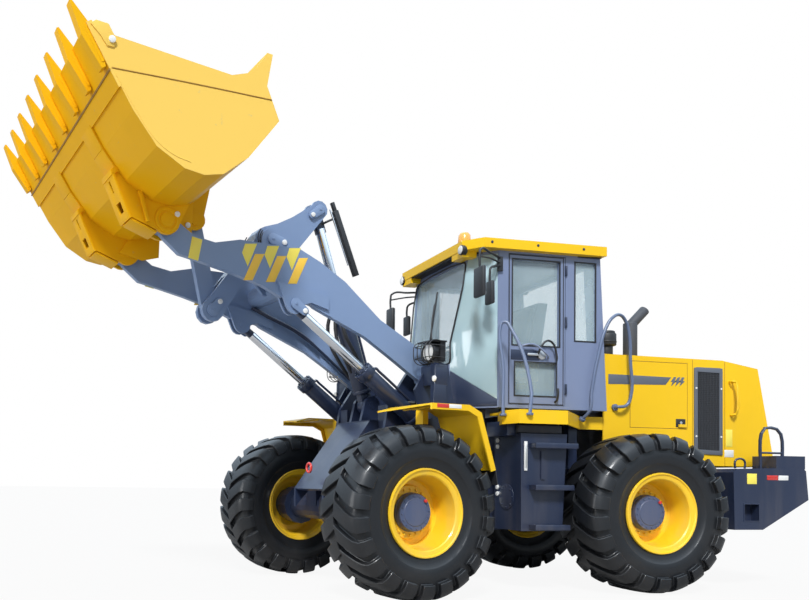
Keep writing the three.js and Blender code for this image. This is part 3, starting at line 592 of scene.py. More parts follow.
def remove(piece):
    bpy.data.objects.remove(piece)


def circle(centre, radius, start=0, end=360, count=24):
    return [(centre[0] + radius * math.cos(math.radians(start + (end - start) * i / count)),
             centre[1] + radius * math.sin(math.radians(start + (end - start) * i / count)))
            for i in range(count + 1)]


print("blanks ready")

# %% [markdown]
# ## Tyres
#
# An earthmover tyre is a carcass with deep slanted lugs that meet at its middle. Modelling each lug on its
# own would leave seams. Instead the carcass's profile is twisted round the axle before it is spun, so its
# strips of faces already run along the lugs. Every other group of strips is then selected and extruded
# outwards along its normals: the whole tread grows from the skin at once, half a pitch out of step between
# the two shoulders.

# %% The tyre
TYRE_RADIUS, HALF_TRACK, AXLES = 0.8, 1.125, {"front": 1.48, "rear": -1.45}
LUGS, STRIPS = 22, 6
LUG_HEIGHT, SLANT, SHOULDER = 0.046, 0.19, 0.258
half_skin = [(0.000, 0.752), (0.030, 0.752), (0.100, 0.751), (0.170, 0.748), (0.225, 0.741),
             (SHOULDER, 0.727), (0.276, 0.700), (0.282, 0.662), (0.286, 0.630), (0.2930, 0.600),
             (0.2965, 0.560), (0.2955, 0.530),
             (0.289, 0.500), (0.287, 0.492), (0.279, 0.488), (0.266, 0.445), (0.262, 0.420), (0.256, 0.398)]


def slant_of(y):
    return SLANT * min(1.0, abs(y) / SHOULDER)


outer_skin = [(-y, r) for y, r in reversed(half_skin[1:])] + half_skin
tyre = spun(outer_skin, LUGS * STRIPS, closed=False, twist=[slant_of(y) for y, r in outer_skin])
strip_angle = 2 * math.pi / (LUGS * STRIPS)
bpy.context.tool_settings.mesh_select_mode = (False, False, True)
only(tyre)
bpy.ops.object.mode_set(mode="EDIT")
bpy.ops.mesh.select_all(action="DESELECT")
bpy.ops.object.mode_set(mode="OBJECT")
for face in tyre.data.polygons:
    x, y, z = face.center
    strip = math.floor((math.atan2(x, z) - slant_of(y)) / strip_angle) % STRIPS
    lug = (0, 1, 2, 3) if y > 0 else (3, 4, 5, 0)
    face.select = strip in lug and math.hypot(x, z) > 0.642 and abs(y) > 0.012
bpy.ops.object.mode_set(mode="EDIT")
bpy.ops.mesh.extrude_region_shrink_fatten(TRANSFORM_OT_shrink_fatten={"value": LUG_HEIGHT})
bpy.ops.object.mode_set(mode="OBJECT")
apply_modifier(tyre, "BEVEL", width=0.006, segments=1, limit_method="ANGLE", angle_limit=math.radians(40))
reach = max(math.hypot(v.co.x, v.co.z) for v in tyre.data.vertices)
print("tyre radius", round(reach, 4), "width", round(2 * max(v.co.y for v in tyre.data.vertices), 4),
      "faces", len(tyre.data.polygons))

# %% [markdown]
# ## Wheels
#
# The dished rim is one profile spun round the axle: a rolled flange, a deep barrel, and the disc that bolts
# to the hub. The planet hub behind it is painted like the axle, with a ring of cover bolts and one red plug.

# %% The wheel
rim_profile = [
    (0.268, 0.402), (0.282, 0.397), (0.282, 0.386), (0.270, 0.378), (0.262, 0.344), (0.252, 0.334),
    (0.150, 0.322), (0.020, 0.312), (-0.010, 0.300), (-0.016, 0.255), (0.030, 0.240), (0.034, 0.180),
    (0.006, 0.180), (-0.034, 0.250), (-0.036, 0.300), (-0.060, 0.318), (-0.200, 0.335), (-0.250, 0.375),
    (-0.272, 0.392), (-0.268, 0.402),
    (-0.245, 0.400), (-0.232, 0.350), (0.215, 0.360), (0.240, 0.378), (0.248, 0.396)]
rim = spun(rim_profile, 72)
rim_bolt = drum((0.211, 0.028, 0), (0.211, 0.050, 0), 0.013, 0.002, 6)
rim_bolts = ring_of(rim_bolt, 20)
remove(rim_bolt)
hub_profile = [(0.060, 0.180), (0.062, 0.176), (0.102, 0.174), (0.112, 0.168), (0.114, 0.128), (0.120, 0.122),
               (0.122, 0.002), (-0.100, 0.002), (-0.110, 0.176), (-0.020, 0.180)]
hub = spun(hub_profile, 56)
cover_bolt = drum((0.149, 0.110, 0), (0.149, 0.121, 0), 0.008, 0.0015, 6)
cover_bolts = ring_of(cover_bolt, 16, start=0.1)
remove(cover_bolt)
plug = drum((-0.105, 0.112, 0.105), (-0.105, 0.132, 0.105), 0.016, 0.002, 12)
for axle, x in AXLES.items():
    half = FRONT if axle == "front" else REAR
    for side, sign in SIDES:
        station = half @ Matrix.Translation((x, sign * HALF_TRACK, TYRE_RADIUS)) @ Matrix.Rotation(
            0 if sign > 0 else math.pi, 4, "Z")
        body = f"{axle}_wheel_{side}"
        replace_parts(settle(copy(tyre), f"lugged_tyre_{axle}_{side}", tyre_rubber, body, station),
                    f"{axle}_tyre_{side}")
        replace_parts(settle(copy(rim), f"dished_rim_{axle}_{side}", rim_paint, body, station, 17), body)
        settle(copy(rim_bolts), f"rim_bolts_{axle}_{side}", rim_paint, body, station)
        settle(copy(hub), f"planet_hub_{axle}_{side}", hub_paint, body, station)
        settle(copy(cover_bolts), f"cover_bolts_{axle}_{side}", hub_paint, body, station)
        settle(copy(plug), f"oil_plug_{axle}_{side}", red_lens, body, station)
for blank in (tyre, rim, rim_bolts, hub, cover_bolts, plug):
    remove(blank)
print("wheels dressed")

# %% [markdown]
# ## Cylinders
#
# Each hydraulic cylinder is turned along its own line and swung into place: a barrel with a welded base, a
# bolted gland at its mouth, an oil pipe along its back, and a chromed rod that ends in a forged eye.

# %% Lift and tilt cylinders
ARM_MIDDLE = 0.575
LIFT_BASE, LIFT_EYE = (0.900, 1.630), (2.404, 2.722)
TILT_BASE, ROCKER_TOP = (1.190, 1.870), (1.838, 3.848)


def along(start, end, y):
    """Carries a piece modelled along X to a line from one [X, Z] pivot towards another."""
    slope = math.atan2(end[1] - start[1], end[0] - start[0])
    return FRONT @ Matrix.Translation((start[0], y, start[1])) @ Matrix.Rotation(-slope, 4, "Y")


def barrel(radius, length, eye_radius, eye_half):
    neck = eye_radius + 0.065
    tubes = [drum((neck, 0, 0), (length, 0, 0), radius, 0.006, 40),
             drum((length - 0.085, 0, 0), (length, 0, 0), radius + 0.014, 0.004, 40),
             drum((neck - 0.008, 0, 0), (neck + 0.03, 0, 0), radius + 0.008, 0.006, 40),
             drum((0, -eye_half, 0), (0, eye_half, 0), eye_radius, 0.005, 40),
             block((neck / 2, 0, 0), (neck, eye_half * 1.9, eye_radius * 1.5), 0.01)]
    bolt = drum((length - 0.002, 0, radius - 0.004), (length + 0.010, 0, radius - 0.004), 0.009, 0.001, 6)
    tubes.append(ring_of(bolt, 10, "X"))
    remove(bolt)
    top = radius + 0.030
    tubes.append(tube([(neck + 0.05, 0, radius), (neck + 0.05, 0, top), (neck + 0.10, 0, top + 0.004),
                       (length - 0.16, 0, top + 0.004), (length - 0.11, 0, top), (length - 0.11, 0, radius)],
                      0.013))
    return join(tubes)


def piston_rod(radius, start, reach, eye_radius, eye_half):
    neck = reach - eye_radius - 0.15
    bar = drum((start, 0, 0), (neck + 0.05, 0, 0), radius, 0.003, 40)
    eye = join([drum((reach, -eye_half, 0), (reach, eye_half, 0), eye_radius, 0.004, 40),
                block(((neck + reach) / 2, 0, 0), (reach - neck, eye_half * 1.9, eye_radius * 1.3), 0.008)])
    return bar, eye


lift_line = math.dist(LIFT_BASE, LIFT_EYE)
tilt_line = math.dist(TILT_BASE, ROCKER_TOP)
for side, sign in SIDES:
    line = along(LIFT_BASE, LIFT_EYE, sign * ARM_MIDDLE)
    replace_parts(settle(barrel(0.082, 0.900, 0.085, 0.045), f"lift_cylinder_tube_{side}", frame_paint,
                       f"lift_barrel_{side}", line), f"lift_barrel_{side}")
    bar, eye = piston_rod(0.045, 0.690, lift_line, 0.060, 0.026)
    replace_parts(settle(bar, f"lift_cylinder_rod_{side}", chrome_rod, f"lift_rod_{side}", line),
                f"lift_rod_{side}")
    settle(eye, f"lift_rod_eye_{side}", frame_paint, f"lift_rod_{side}", line)
line = along(TILT_BASE, ROCKER_TOP, 0)
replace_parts(settle(barrel(0.095, 1.190, 0.085, 0.050), "tilt_cylinder_tube", frame_paint,
                   "tilt_barrel", line), "tilt_barrel")
bar, eye = piston_rod(0.050, 0.850, tilt_line, 0.080, 0.034)
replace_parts(settle(bar, "tilt_cylinder_rod", chrome_rod, "tilt_rod", line), "tilt_rod")
settle(eye, "tilt_rod_eye", frame_paint, "tilt_rod", line)
print("cylinders:", round(lift_line, 3), round(tilt_line, 3))

# %% [markdown]
# ## The boom's dress
#
# Each arm carries a yellow data plate and three bright chevrons on its outer face; each chevron is a pair of
# plain slanted stripes. Every pin is held from turning by a keeper plate with a white-capped bolt.

# %% Stripes, plates and keepers
ARM_FACE, MARK = 0.605, 0.0025
upper = [(2.919, 3.230), (2.797, 3.245), (2.890, 3.024), (2.948, 3.145)]
lower = [(2.816, 3.148), (2.720, 3.160), (2.838, 2.903), (2.931, 2.893)]
STRIPE_STEPS = (0.0, -0.229, -0.459)


def shifted(outline, dx):
    return [(x + dx, z + abs(dx) * 0.035) for x, z in outline]


def mark(outline, y, name, finish, body):
    on_sides(plate(outline, y, y + MARK, 0.0005), name, finish, body)


mark_yellow = plain("mark_yellow", (0.95, 0.80, 0.12), 0.35, spread=0.05).material
mark_amber = plain("mark_amber", (0.95, 0.60, 0.07), 0.35, spread=0.05).material
for number, dx in enumerate(STRIPE_STEPS, 1):
    mark(shifted(upper, dx), ARM_FACE, f"chevron_top_{number}", mark_yellow, "boom")
    mark(shifted(lower, dx), ARM_FACE, f"chevron_foot_{number}", mark_amber, "boom")
mark([(3.440, 3.230), (3.341, 3.213), (3.379, 3.018), (3.475, 3.036)], ARM_FACE, "data_plate", mark_yellow,
     "boom")


def capsule(start, end, radius):
    slope = math.degrees(math.atan2(end[1] - start[1], end[0] - start[0]))
    return circle(start, radius, slope + 90, slope + 270, 12) + circle(end, radius * 0.8, slope - 90,
                                                                       slope + 90, 12)


def keeper(pin, bolt, y, radius, name, body, thick=0.016):
    holder = join([plate(capsule(pin, bolt, radius), y, y + thick, 0.002),
                   drum((pin[0], y, pin[1]), (pin[0], y + thick + 0.006, pin[1]), radius * 0.3, 0.002, 20)])
    cap = drum((bolt[0], y + thick - 0.002, bolt[1]), (bolt[0], y + thick + 0.014, bolt[1]), radius * 0.48,
               0.004, 20)
    on_sides(holder, f"{name}_keeper", arm_paint, body)
    on_sides(cap, f"{name}_cap", lamp_white, body)


keeper((2.404, 2.722), (2.312, 2.660), 0.6395, 0.052, "lift_pin", "boom")
keeper((1.838, 3.848), (1.930, 3.778), 0.1005, 0.050, "rocker_top", "rocker")
keeper((3.008, 2.708), (2.945, 2.790), 0.1005, 0.052, "rocker_foot", "rocker", 0.012)
keeper((2.420, 3.449), (2.300, 3.424), 0.1855, 0.056, "rocker_pivot", "boom")
for number in range(3):
    shim = tube([(2.420 - (0.105 + 0.022 * number) * math.cos(t), 0.160,
                  3.449 + (0.105 + 0.022 * number) * math.sin(t))
                 for t in (2.5, 2.85, 3.2, 3.5)], 0.006)
    on_sides(shim, f"pivot_grease_line_{number + 1}", hose_rubber, "boom")
ring = spun([(0.100, 0.066), (0.108, 0.064), (0.108, 0.048), (0.100, 0.046)], 40)
ring.data.transform(Matrix.Translation((3.008, 0, 2.708)))
on_sides(ring, "foot_seal", arm_paint, "rocker")
print("marks and keepers placed")

# %% [markdown]
# The bucket's level is read by a black square tube that slides beside the tilt cylinder. Hoses loop from the
# tower up to the tilt cylinder, and pipes run back along the arms' insides.

# %% Leveller, hoses and pipes
bar = join([block((0.48, 0, 0), (0.70, 0.055, 0.055), 0.005),
            block((0.09, 0, 0.0), (0.10, 0.036, 0.036), 0.003)])
level_line = (FRONT @ Matrix.Translation((1.700, 0.080, 3.985)) @
              Matrix.Rotation(-math.atan2(-0.700, -0.285), 4, "Y"))
settle(bar, "leveller_bar", black_plastic, "tilt_rod", level_line)
feeler = drum((0.10, 0, 0.05), (0.70, 0, 0.05), 0.009, 0.001, 12)
settle(feeler, "leveller_feeler", chrome_rod, "tilt_rod", level_line)
strut = tube([(1.625, 0.080, 3.800), (1.700, 0.060, 3.765), (1.785, 0.020, 3.718)], 0.012)
settle(strut, "leveller_strut", black_plastic, "tilt_rod")
for number, (y, low) in enumerate(((-0.05, 2.30), (0.0, 2.26), (0.05, 2.34)), 1):
    loop = tube([(1.20 + y, y * 3, 2.05), (1.42, y * 3 + 0.02, low), (1.58, y * 3, 2.66),
                 (1.52, y * 2, 2.98)], 0.019)
    settle(loop, f"tilt_hose_{number}", hose_rubber, "front_body")
for number, (start, y) in enumerate((((1.05, 2.20), 0.513), ((1.50, 2.52), 0.480)), 1):
    pipe = tube([(start[0], y, start[1]), (1.70, y, 2.66), (2.15, y, 2.84), (2.30, y, 2.90)], 0.015)
    on_sides(pipe, f"arm_pipe_{number}", frame_paint, "boom")
lift_hose = tube([(0.72, 0.50, 1.40), (0.66, 0.56, 1.62), (0.76, 0.62, 1.86), (1.00, 0.655, 1.86),
                  (1.10, 0.60, 1.865)],
                 0.018)
on_sides(lift_hose, "lift_hose", hose_rubber, "front_body")
print("hoses laid")

# %% [markdown]
# ## The bucket's working parts
#
# Bolted adapters carry the teeth on the underside of the blade, and two flat wear strips run down the belly
# to the ears. Each pair of ears is boxed in by a slotted plate. The cheek has a thicker upper border, whose
# weld shows as a dark line.

# %% Bucket plates


def sheet_along(start, end, near, far, thick, holes=(), lift=0.0, edge=0.003):
    """A plate over near to far in Y, whose back lies on a line between two [X, Z] points, below it."""
    long = math.dist(start, end)
    piece = plate([(0, near), (long, near), (long, far), (0, far)], -thick - lift, -lift, edge, holes, "XY")
    slope = math.atan2(end[1] - start[1], end[0] - start[0])
    piece.data.transform(Matrix.Translation((start[0], 0, start[1])) @ Matrix.Rotation(-slope, 4, "Y"))
    return piece


adapter = join([sheet_along((4.508, 4.168), (4.650, 4.403), -0.050, 0.050, 0.028, edge=0.008),
                sheet_along((4.600, 4.321), (4.655, 4.412), -0.040, 0.040, 0.044, edge=0.014)])
cap = join([sheet_along((4.520 + d, 4.188 + d * 1.65), (4.540 + d, 4.221 + d * 1.65), -0.020, 0.020, 0.046,
                        edge=0.012)
            for d in (0.0, 0.042)])
TOOTH_REACH, TOOTH_COUNT = 1.452, 8
for number in range(TOOTH_COUNT):
    slide = Matrix.Translation((0, -TOOTH_REACH + number * 2 * TOOTH_REACH / (TOOTH_COUNT - 1), 0))
    settle(copy(adapter, slide), f"tooth_adapter_{number + 1}", bucket_paint, "bucket")
    settle(copy(cap, slide), f"adapter_bolts_{number + 1}", zinc_steel, "bucket")
remove(adapter)
remove(cap)
strips = join([sheet_along((4.288, 3.842), (4.400, 4.020), 0.440, 0.709, 0.020),
               sheet_along((4.150, 3.667), (4.288, 3.842), 0.440, 0.709, 0.020)])
on_sides(strips, "wear_strip", bucket_paint, "bucket")

oblong = [(0.26, 0.560), (0.36, 0.560), (0.36, 0.592), (0.26, 0.592)]
window = [(0.075, 0.535), (0.165, 0.535), (0.165, 0.640), (0.075, 0.640)]
boxing = join([sheet_along((4.034, 3.292), (4.198, 3.652), 0.436, 0.713, 0.022, (oblong, window)),
               sheet_along((3.800, 3.208), (4.034, 3.292), 0.458, 0.691, 0.018),
               plate([(4.190, 3.640), (4.218, 3.628), (4.232, 3.668), (4.150, 3.735), (4.120, 3.720)], 0.436,
                     0.713)])
on_sides(boxing, "ear_boxing", bucket_paint, "bucket")
rib = plate([(3.880, 3.275), (3.905, 3.268), (3.985, 3.520), (3.955, 3.530)], 0.691, 0.735)
on_sides(rib, "ear_rib", bucket_paint, "bucket")
boss = spun([(0.690, 0.112), (0.702, 0.110), (0.704, 0.088), (0.696, 0.082), (0.696, 0.066), (0.708, 0.062),
             (0.712, 0.0), (0.690, 0.0)], 48, closed=False)
boss.data.transform(Matrix.Translation((3.712, 0, 3.318)))
on_sides(boss, "bucket_pin_boss", bucket_paint, "bucket")
gusset = plate([(3.700, 3.452), (3.800, 3.300), (3.560, 3.250), (3.385, 3.300), (3.375, 3.600),
                (3.536, 3.482)],
               0.440, 0.456)
on_sides(gusset, "ear_gusset", bucket_paint, "bucket")
for number, spot in enumerate(((3.619, 3.377), (3.428, 3.372)), 1):
    y = 0.691 if number == 1 else 0.456
    capped = drum((spot[0], y, spot[1]), (spot[0], y + 0.016, spot[1]), 0.026, 0.005, 20)
    on_sides(capped, f"ear_cap_{number}", lamp_white, "bucket")
print("ears boxed")

# %% [markdown]
# Weld seams run along the cheek's border and where the lip meets the belly. A cutter plate guards each front
# corner.

# %% Bucket seams
CHEEK = 1.508
weld_paint = paint("weld_seam", (0.34, 0.17, 0.010), gloss=0.5)
border = tube([(4.459, CHEEK, 4.122), (3.80, CHEEK, 4.134), (3.124, CHEEK, 4.137)], 0.0055)
on_sides(border, "cheek_border_weld", weld_paint, "bucket")
belly = tube([(4.474, -CHEEK, 4.106), (4.474, 0, 4.106), (4.474, CHEEK, 4.106)], 0.008)
settle(belly, "blade_weld", weld_paint, "bucket")
bead = tube([(4.430, CHEEK, 4.085), (4.245, CHEEK, 3.815), (4.110, CHEEK, 3.651), (3.960, CHEEK, 3.556),
             (3.816, CHEEK, 3.519)], 0.0045)
on_sides(bead, "cheek_bead", bucket_paint, "bucket")
cutter = plate([(4.628, 4.418), (4.586, 4.450), (4.490, 4.441), (4.444, 4.364), (4.442, 4.276),
                (4.500, 4.276),
                (4.552, 4.345)], CHEEK, CHEEK + 0.012, 0.004)
on_sides(cutter, "side_cutter", bucket_paint, "bucket")
cutter_bolt = drum((4.462, CHEEK + 0.010, 4.328), (4.462, CHEEK + 0.026, 4.328), 0.028, 0.006, 20)
on_sides(cutter_bolt, "cutter_bolt", lamp_white, "bucket")
print("bucket dressed")

# %% [markdown]
# ## Front frame, fenders and head lamps
#
# The nose of the front frame is a welded box with a red tow ring.
# Each fender has a red and white reflector on its edge. Each head lamp sits behind a wire guard.

# %% Front half
for name, finish, x0, x1 in (("red", red_lens, 1.245, 1.375), ("white", lamp_white, 1.105, 1.240)):
    patch = block(((x0 + x1) / 2, 1.4015, 1.764), (x1 - x0, 0.003, 0.036), 0.001)
    on_sides(patch, f"fender_reflector_{name}", finish, "front_body")
bezel = spun([(0, 0.098), (0.020, 0.096), (0.022, 0.084), (0, 0.080)], 40)
bezel.data.transform(Matrix.Translation((1.011, 0.815, 2.345)) @ Matrix.Rotation(-math.pi / 2, 4, "Z"))
on_sides(bezel, "head_lamp_bezel", black_plastic, "front_body")
lens = drum((1.008, 0.815, 2.345), (1.026, 0.815, 2.345), 0.082, 0.008, 40)
on_sides(lens, "head_lamp_lens", lamp_white, "front_body")
wires = [tube([(0.93, 0.815 + dy, 2.445), (1.08, 0.815 + dy, 2.435), (1.11, 0.815 + dy, 2.345),
               (1.08, 0.815 + dy, 2.250), (0.93, 0.815 + dy, 2.240)], 0.0045)
         for dy in (-0.12, -0.06, 0.0, 0.06, 0.12)]
wires += [tube([(0.93, 0.690, z), (1.085, 0.695, z), (1.10, 0.815, z), (1.085, 0.935, z), (0.93, 0.940, z)],
               0.0045)
          for z in (2.285, 2.400)]
on_sides(join(wires), "head_lamp_guard", black_plastic, "front_body")
bracket = join([block((0.930, 0.790, 2.120), (0.150, 0.230, 0.200), 0.012),
                plate([(0.860, 1.800), (1.030, 1.800), (1.010, 2.060), (0.880, 2.060)], 0.700, 0.712),
                plate([(0.860, 1.800), (1.030, 1.800), (1.010, 2.060), (0.880, 2.060)], 0.890, 0.902)])
on_sides(bracket, "lamp_bracket", frame_paint, "front_body")
small = drum((1.010, 0.900, 2.080), (1.024, 0.900, 2.080), 0.030, 0.004, 20)
on_sides(small, "turn_lamp", lamp_white, "front_body")
flap = plate([(0.700, 1.200), (0.690, 1.196), (0.664, 1.060), (0.676, 1.058)], 0.800, 1.390, 0.002)
on_sides(flap, "mud_flap", black_plastic, "front_body")
for number, (x, z, turn) in enumerate(((1.30, 1.776, 0.0), (0.77, 1.42, 1.25)), 1):
    seam = block((x, 1.095, z - 0.012), (0.024, 0.58, 0.012), 0.002, (0, turn, 0))
    on_sides(seam, f"fender_rib_{number}", yellow_paint, "front_body")
eye_ring = tube([(1.875, 0.045 * math.cos(a), 1.205 + 0.045 * math.sin(a)) for a in
                 [i * math.pi / 4 for i in range(8)]], 0.013, closed=True)
settle(eye_ring, "tow_ring", red_lens, "front_body")
print("front half dressed")

# %% [markdown]
# ## The cab
#
# Black rubber frames every pane and door. A door has a recessed handle band with a round lock, a bent grab
# tube and three hinge barrels.

# %% Cab doors and panes
CAB_HALF = 0.800


def gasket(x, z, y, width=0.014, depth=0.010):
    outer = [(x[0], z[0]), (x[1], z[0]), (x[1], z[1]), (x[0], z[1])]
    inner = [(x[0] + width, z[0] + width), (x[1] - width, z[0] + width), (x[1] - width, z[1] - width),
             (x[0] + width, z[1] - width)]
    return plate(outer, y, y + depth, 0.002, (inner,))


door_rubber = join([gasket((-0.736, -0.172), (2.492, 3.398), CAB_HALF - 0.006),
                    gasket((-0.708, -0.202), (1.972, 2.338), CAB_HALF - 0.006),
                    gasket((-0.776, -0.142), (1.892, 3.438), CAB_HALF - 0.008, 0.010, 0.008)])
on_sides(door_rubber, "door_rubber", black_plastic, "cab_door_SIDE")
band = block((-0.330, CAB_HALF + 0.001, 2.400), (0.330, 0.006, 0.105), 0.003)
on_sides(band, "door_handle_band", frame_paint, "cab_door_SIDE")
lock = join([drum((-0.517, CAB_HALF - 0.004, 2.407), (-0.517, CAB_HALF + 0.016, 2.407), 0.048, 0.005, 28),
             block((-0.420, CAB_HALF + 0.018, 2.407), (0.150, 0.012, 0.026), 0.005)])
on_sides(lock, "door_lock", zinc_steel, "cab_door_SIDE")
grab = tube([(-0.470, CAB_HALF, 2.380), (-0.480, CAB_HALF + 0.040, 2.470), (-0.545, CAB_HALF + 0.052, 2.548),
             (-0.608, CAB_HALF + 0.052, 2.532), (-0.654, CAB_HALF + 0.048, 2.440),
             (-0.672, CAB_HALF + 0.042, 2.150),
             (-0.676, CAB_HALF + 0.040, 1.950), (-0.676, CAB_HALF, 1.925)], 0.011)
on_sides(grab, "door_grab_tube", black_plastic, "cab_door_SIDE")
for number, z in enumerate((2.060, 2.760, 3.300), 1):
    hinge = drum((-0.797, CAB_HALF + 0.008, z - 0.055), (-0.797, CAB_HALF + 0.008, z + 0.055), 0.013, 0.003,
                 16)
    on_sides(hinge, f"door_hinge_{number}", frame_paint, "rear_body")
window_rubber = gasket((-1.158, -0.897), (2.565, 3.408), CAB_HALF - 0.004)
on_sides(window_rubber, "side_window_rubber", black_plastic, "rear_body")
print("doors dressed")

# %% [markdown]
# The windscreen leans back above its sill. Between it and the door pillar, a bonded pane covers the whole
# slanted corner and ends on a slanted lower edge, above a dark panel. The roof carries a work lamp at each
# corner and a beacon.

# %% Cab front, rear and roof
SILL, LEAN = 2.540, 0.1543


def screen_x(z):
    return 0.339 - max(z - SILL, 0) * LEAN


CORNER_WAY = (0.7255, -0.6882)


def frame_loop(points, radius):
    return tube([p for a, b in zip(points, points[1:] + points[:1])
                 for p in (Vector(a).lerp(Vector(b), 0.05), Vector(a).lerp(Vector(b), 0.95))], radius, True,
                3)


pane_edge = frame_loop([(screen_x(z) + 0.002, y, z) for y, z in
                        ((-0.470, 2.330), (0.470, 2.330), (0.478, 2.540), (0.570, 3.390), (-0.570, 3.390),
                         (-0.478, 2.540))], 0.009)
settle(pane_edge, "windscreen_rubber", black_plastic, "rear_body")


def corner_sheet(low, high):
    """A sheet on the corner face; low and high are its heights at the door pillar and at the windscreen."""
    def reach(z):
        return (screen_x(z) + 0.030) / CORNER_WAY[0] - 0.012
    edge = [(reach(low[1]), low[1]), (reach(high[1]), high[1])]
    if low[1] < SILL < high[1]:
        edge.insert(1, (reach(SILL), SILL))
    sheet = plate([(0.014, high[0]), (0.014, low[0])] + edge, 0.003, 0.009, 0.001)
    sheet.data.transform(Matrix.Translation((-0.030, 0.800, 0)) @
                         Matrix.Rotation(math.atan2(CORNER_WAY[1], CORNER_WAY[0]), 4, "Z"))
    return sheet


on_sides(corner_sheet((1.935, 2.255), (3.430, 3.430)), "corner_bonded_glass", bonded_glass, "rear_body")
on_sides(corner_sheet((1.870, 1.870), (1.925, 2.245)), "corner_lower_panel", frame_paint, "rear_body")
front_panel = block((screen_x(SILL) + 0.006, 0, 2.060), (0.008, 0.840, 0.360), 0.002)
settle(front_panel, "front_lower_panel", frame_paint, "rear_body")
front_skirt = block((0.150, 0, 1.784), (0.300, 1.200, 0.124), 0.004)
settle(front_skirt, "cab_skirt", frame_paint, "rear_body")
wiper = join([tube([(screen_x(2.42) + 0.014, 0.10, 2.42), (screen_x(2.80) + 0.030, 0.04, 2.80),
                    (screen_x(3.05) + 0.018, 0.00, 3.05)], 0.008),
              block((screen_x(2.88) + 0.014, 0.02, 2.88), (0.014, 0.016, 0.620), 0.003, (0, -0.153, 0)),
              drum((screen_x(2.41) - 0.004, 0.10, 2.40), (screen_x(2.41) + 0.030, 0.10, 2.40), 0.026, 0.004,
                   20)])
settle(wiper, "windscreen_wiper", black_plastic, "rear_body")
brow = plate([(0.300, 0.660), (0.318, 0.690), (0.318, -0.690), (0.300, -0.660), (-1.200, -0.830),
              (-1.200, 0.830)],
             3.452, 3.466, 0.002, across="XY")
settle(brow, "roof_underside", black_plastic, "rear_body")
crown = plate([(0.200, 0.600), (0.200, -0.600), (0.080, -0.740), (-1.130, -0.740), (-1.130, 0.740),
               (0.080, 0.740)],
              3.560, 3.582, 0.010, across="XY")
settle(crown, "roof_crown", yellow_paint, "rear_body")
for name, x, y, out in (("front", 0.318, 0.690, 0.030), ("rear", -1.225, 0.600, -0.030)):
    z = 3.470 if out > 0 else 3.430
    housing = drum((x - out, y, z), (x + out, y, z), 0.052, 0.008, 28)
    on_sides(housing, f"{name}_work_lamp", black_plastic, "rear_body")
    glow = drum((x + out * 0.8, y, z), (x + out * 1.25, y, z), 0.044, 0.006, 28)
    on_sides(glow, f"{name}_work_lamp_lens", lamp_white, "rear_body")
dome = spun([(0.0, 0.066), (0.018, 0.068), (0.100, 0.062), (0.124, 0.046), (0.134, 0.018), (0.134, 0.0)], 32,
            False)
dome.data.transform(Matrix.Translation((0.230, 0.560, 3.562)) @ Matrix.Rotation(math.pi / 2, 4, "X"))
settle(dome, "beacon_dome", amber, "rear_body")
for number, x in enumerate((-0.95, -0.42, 0.10), 1):
    screw = drum((x, 0.878, 3.520), (x, 0.886, 3.520), 0.014, 0.003, 16)
    on_sides(screw, f"roof_screw_{number}", frame_paint, "rear_body")
print("cab dressed")

# %% [markdown]
# ## Mirrors, handrails and stacks
#
# Handrails are one bent tube each, with a foot pad and bolt at either end. Mirrors hang from the pillar on
# thin bent arms. The exhaust has a cut-back tail and the intake a rain cap with a seam.

# %% Rails
front_rail = tube([(0.094, 1.090, 1.745), (0.094, 1.082, 1.830), (0.066, 1.040, 2.200), (0.062, 0.975, 2.640),
                   (0.030, 0.985, 2.690), (-0.020, 1.040, 2.610), (-0.112, 1.240, 1.985),
                   (-0.092, 1.262, 1.830),
                   (-0.084, 1.262, 1.745)], 0.017)
rear_rail = tube([(-1.030, 0.752, 1.760), (-1.062, 0.835, 1.850), (-1.075, 0.845, 2.040),
                  (-1.150, 0.845, 2.420), (-1.255, 0.845, 2.745), (-1.330, 0.845, 2.840),
                  (-1.430, 0.820, 2.872), (-1.520, 0.790, 2.820), (-1.575, 0.775, 2.700),
                  (-1.602, 0.765, 2.400), (-1.615, 0.755, 2.020), (-1.570, 0.745, 1.925),
                  (-1.470, 0.735, 1.905), (-1.470, 0.690, 1.905)], 0.017)
rail_feet = join([drum((0.094, 1.086, 1.738), (0.094, 1.086, 1.760), 0.034, 0.004, 20),
                  drum((-0.084, 1.262, 1.738), (-0.084, 1.262, 1.760), 0.034, 0.004, 20)])
rear_feet = join([drum((-1.030, 0.742, 1.752), (-1.034, 0.762, 1.772), 0.032, 0.004, 20),
                  drum((-1.470, 0.682, 1.905), (-1.470, 0.706, 1.905), 0.036, 0.004, 20)])
for piece, name in ((join([front_rail, rail_feet]), "front"), (join([rear_rail, rear_feet]), "rear")):
    twin = copy(piece, MIRROR)
    for one, side in ((piece, "left"), (twin, "right")):
        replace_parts(settle(one, f"{name}_handrail_{side}", rail_paint, "rear_body"),
                    f"{name}_rail_{side}")


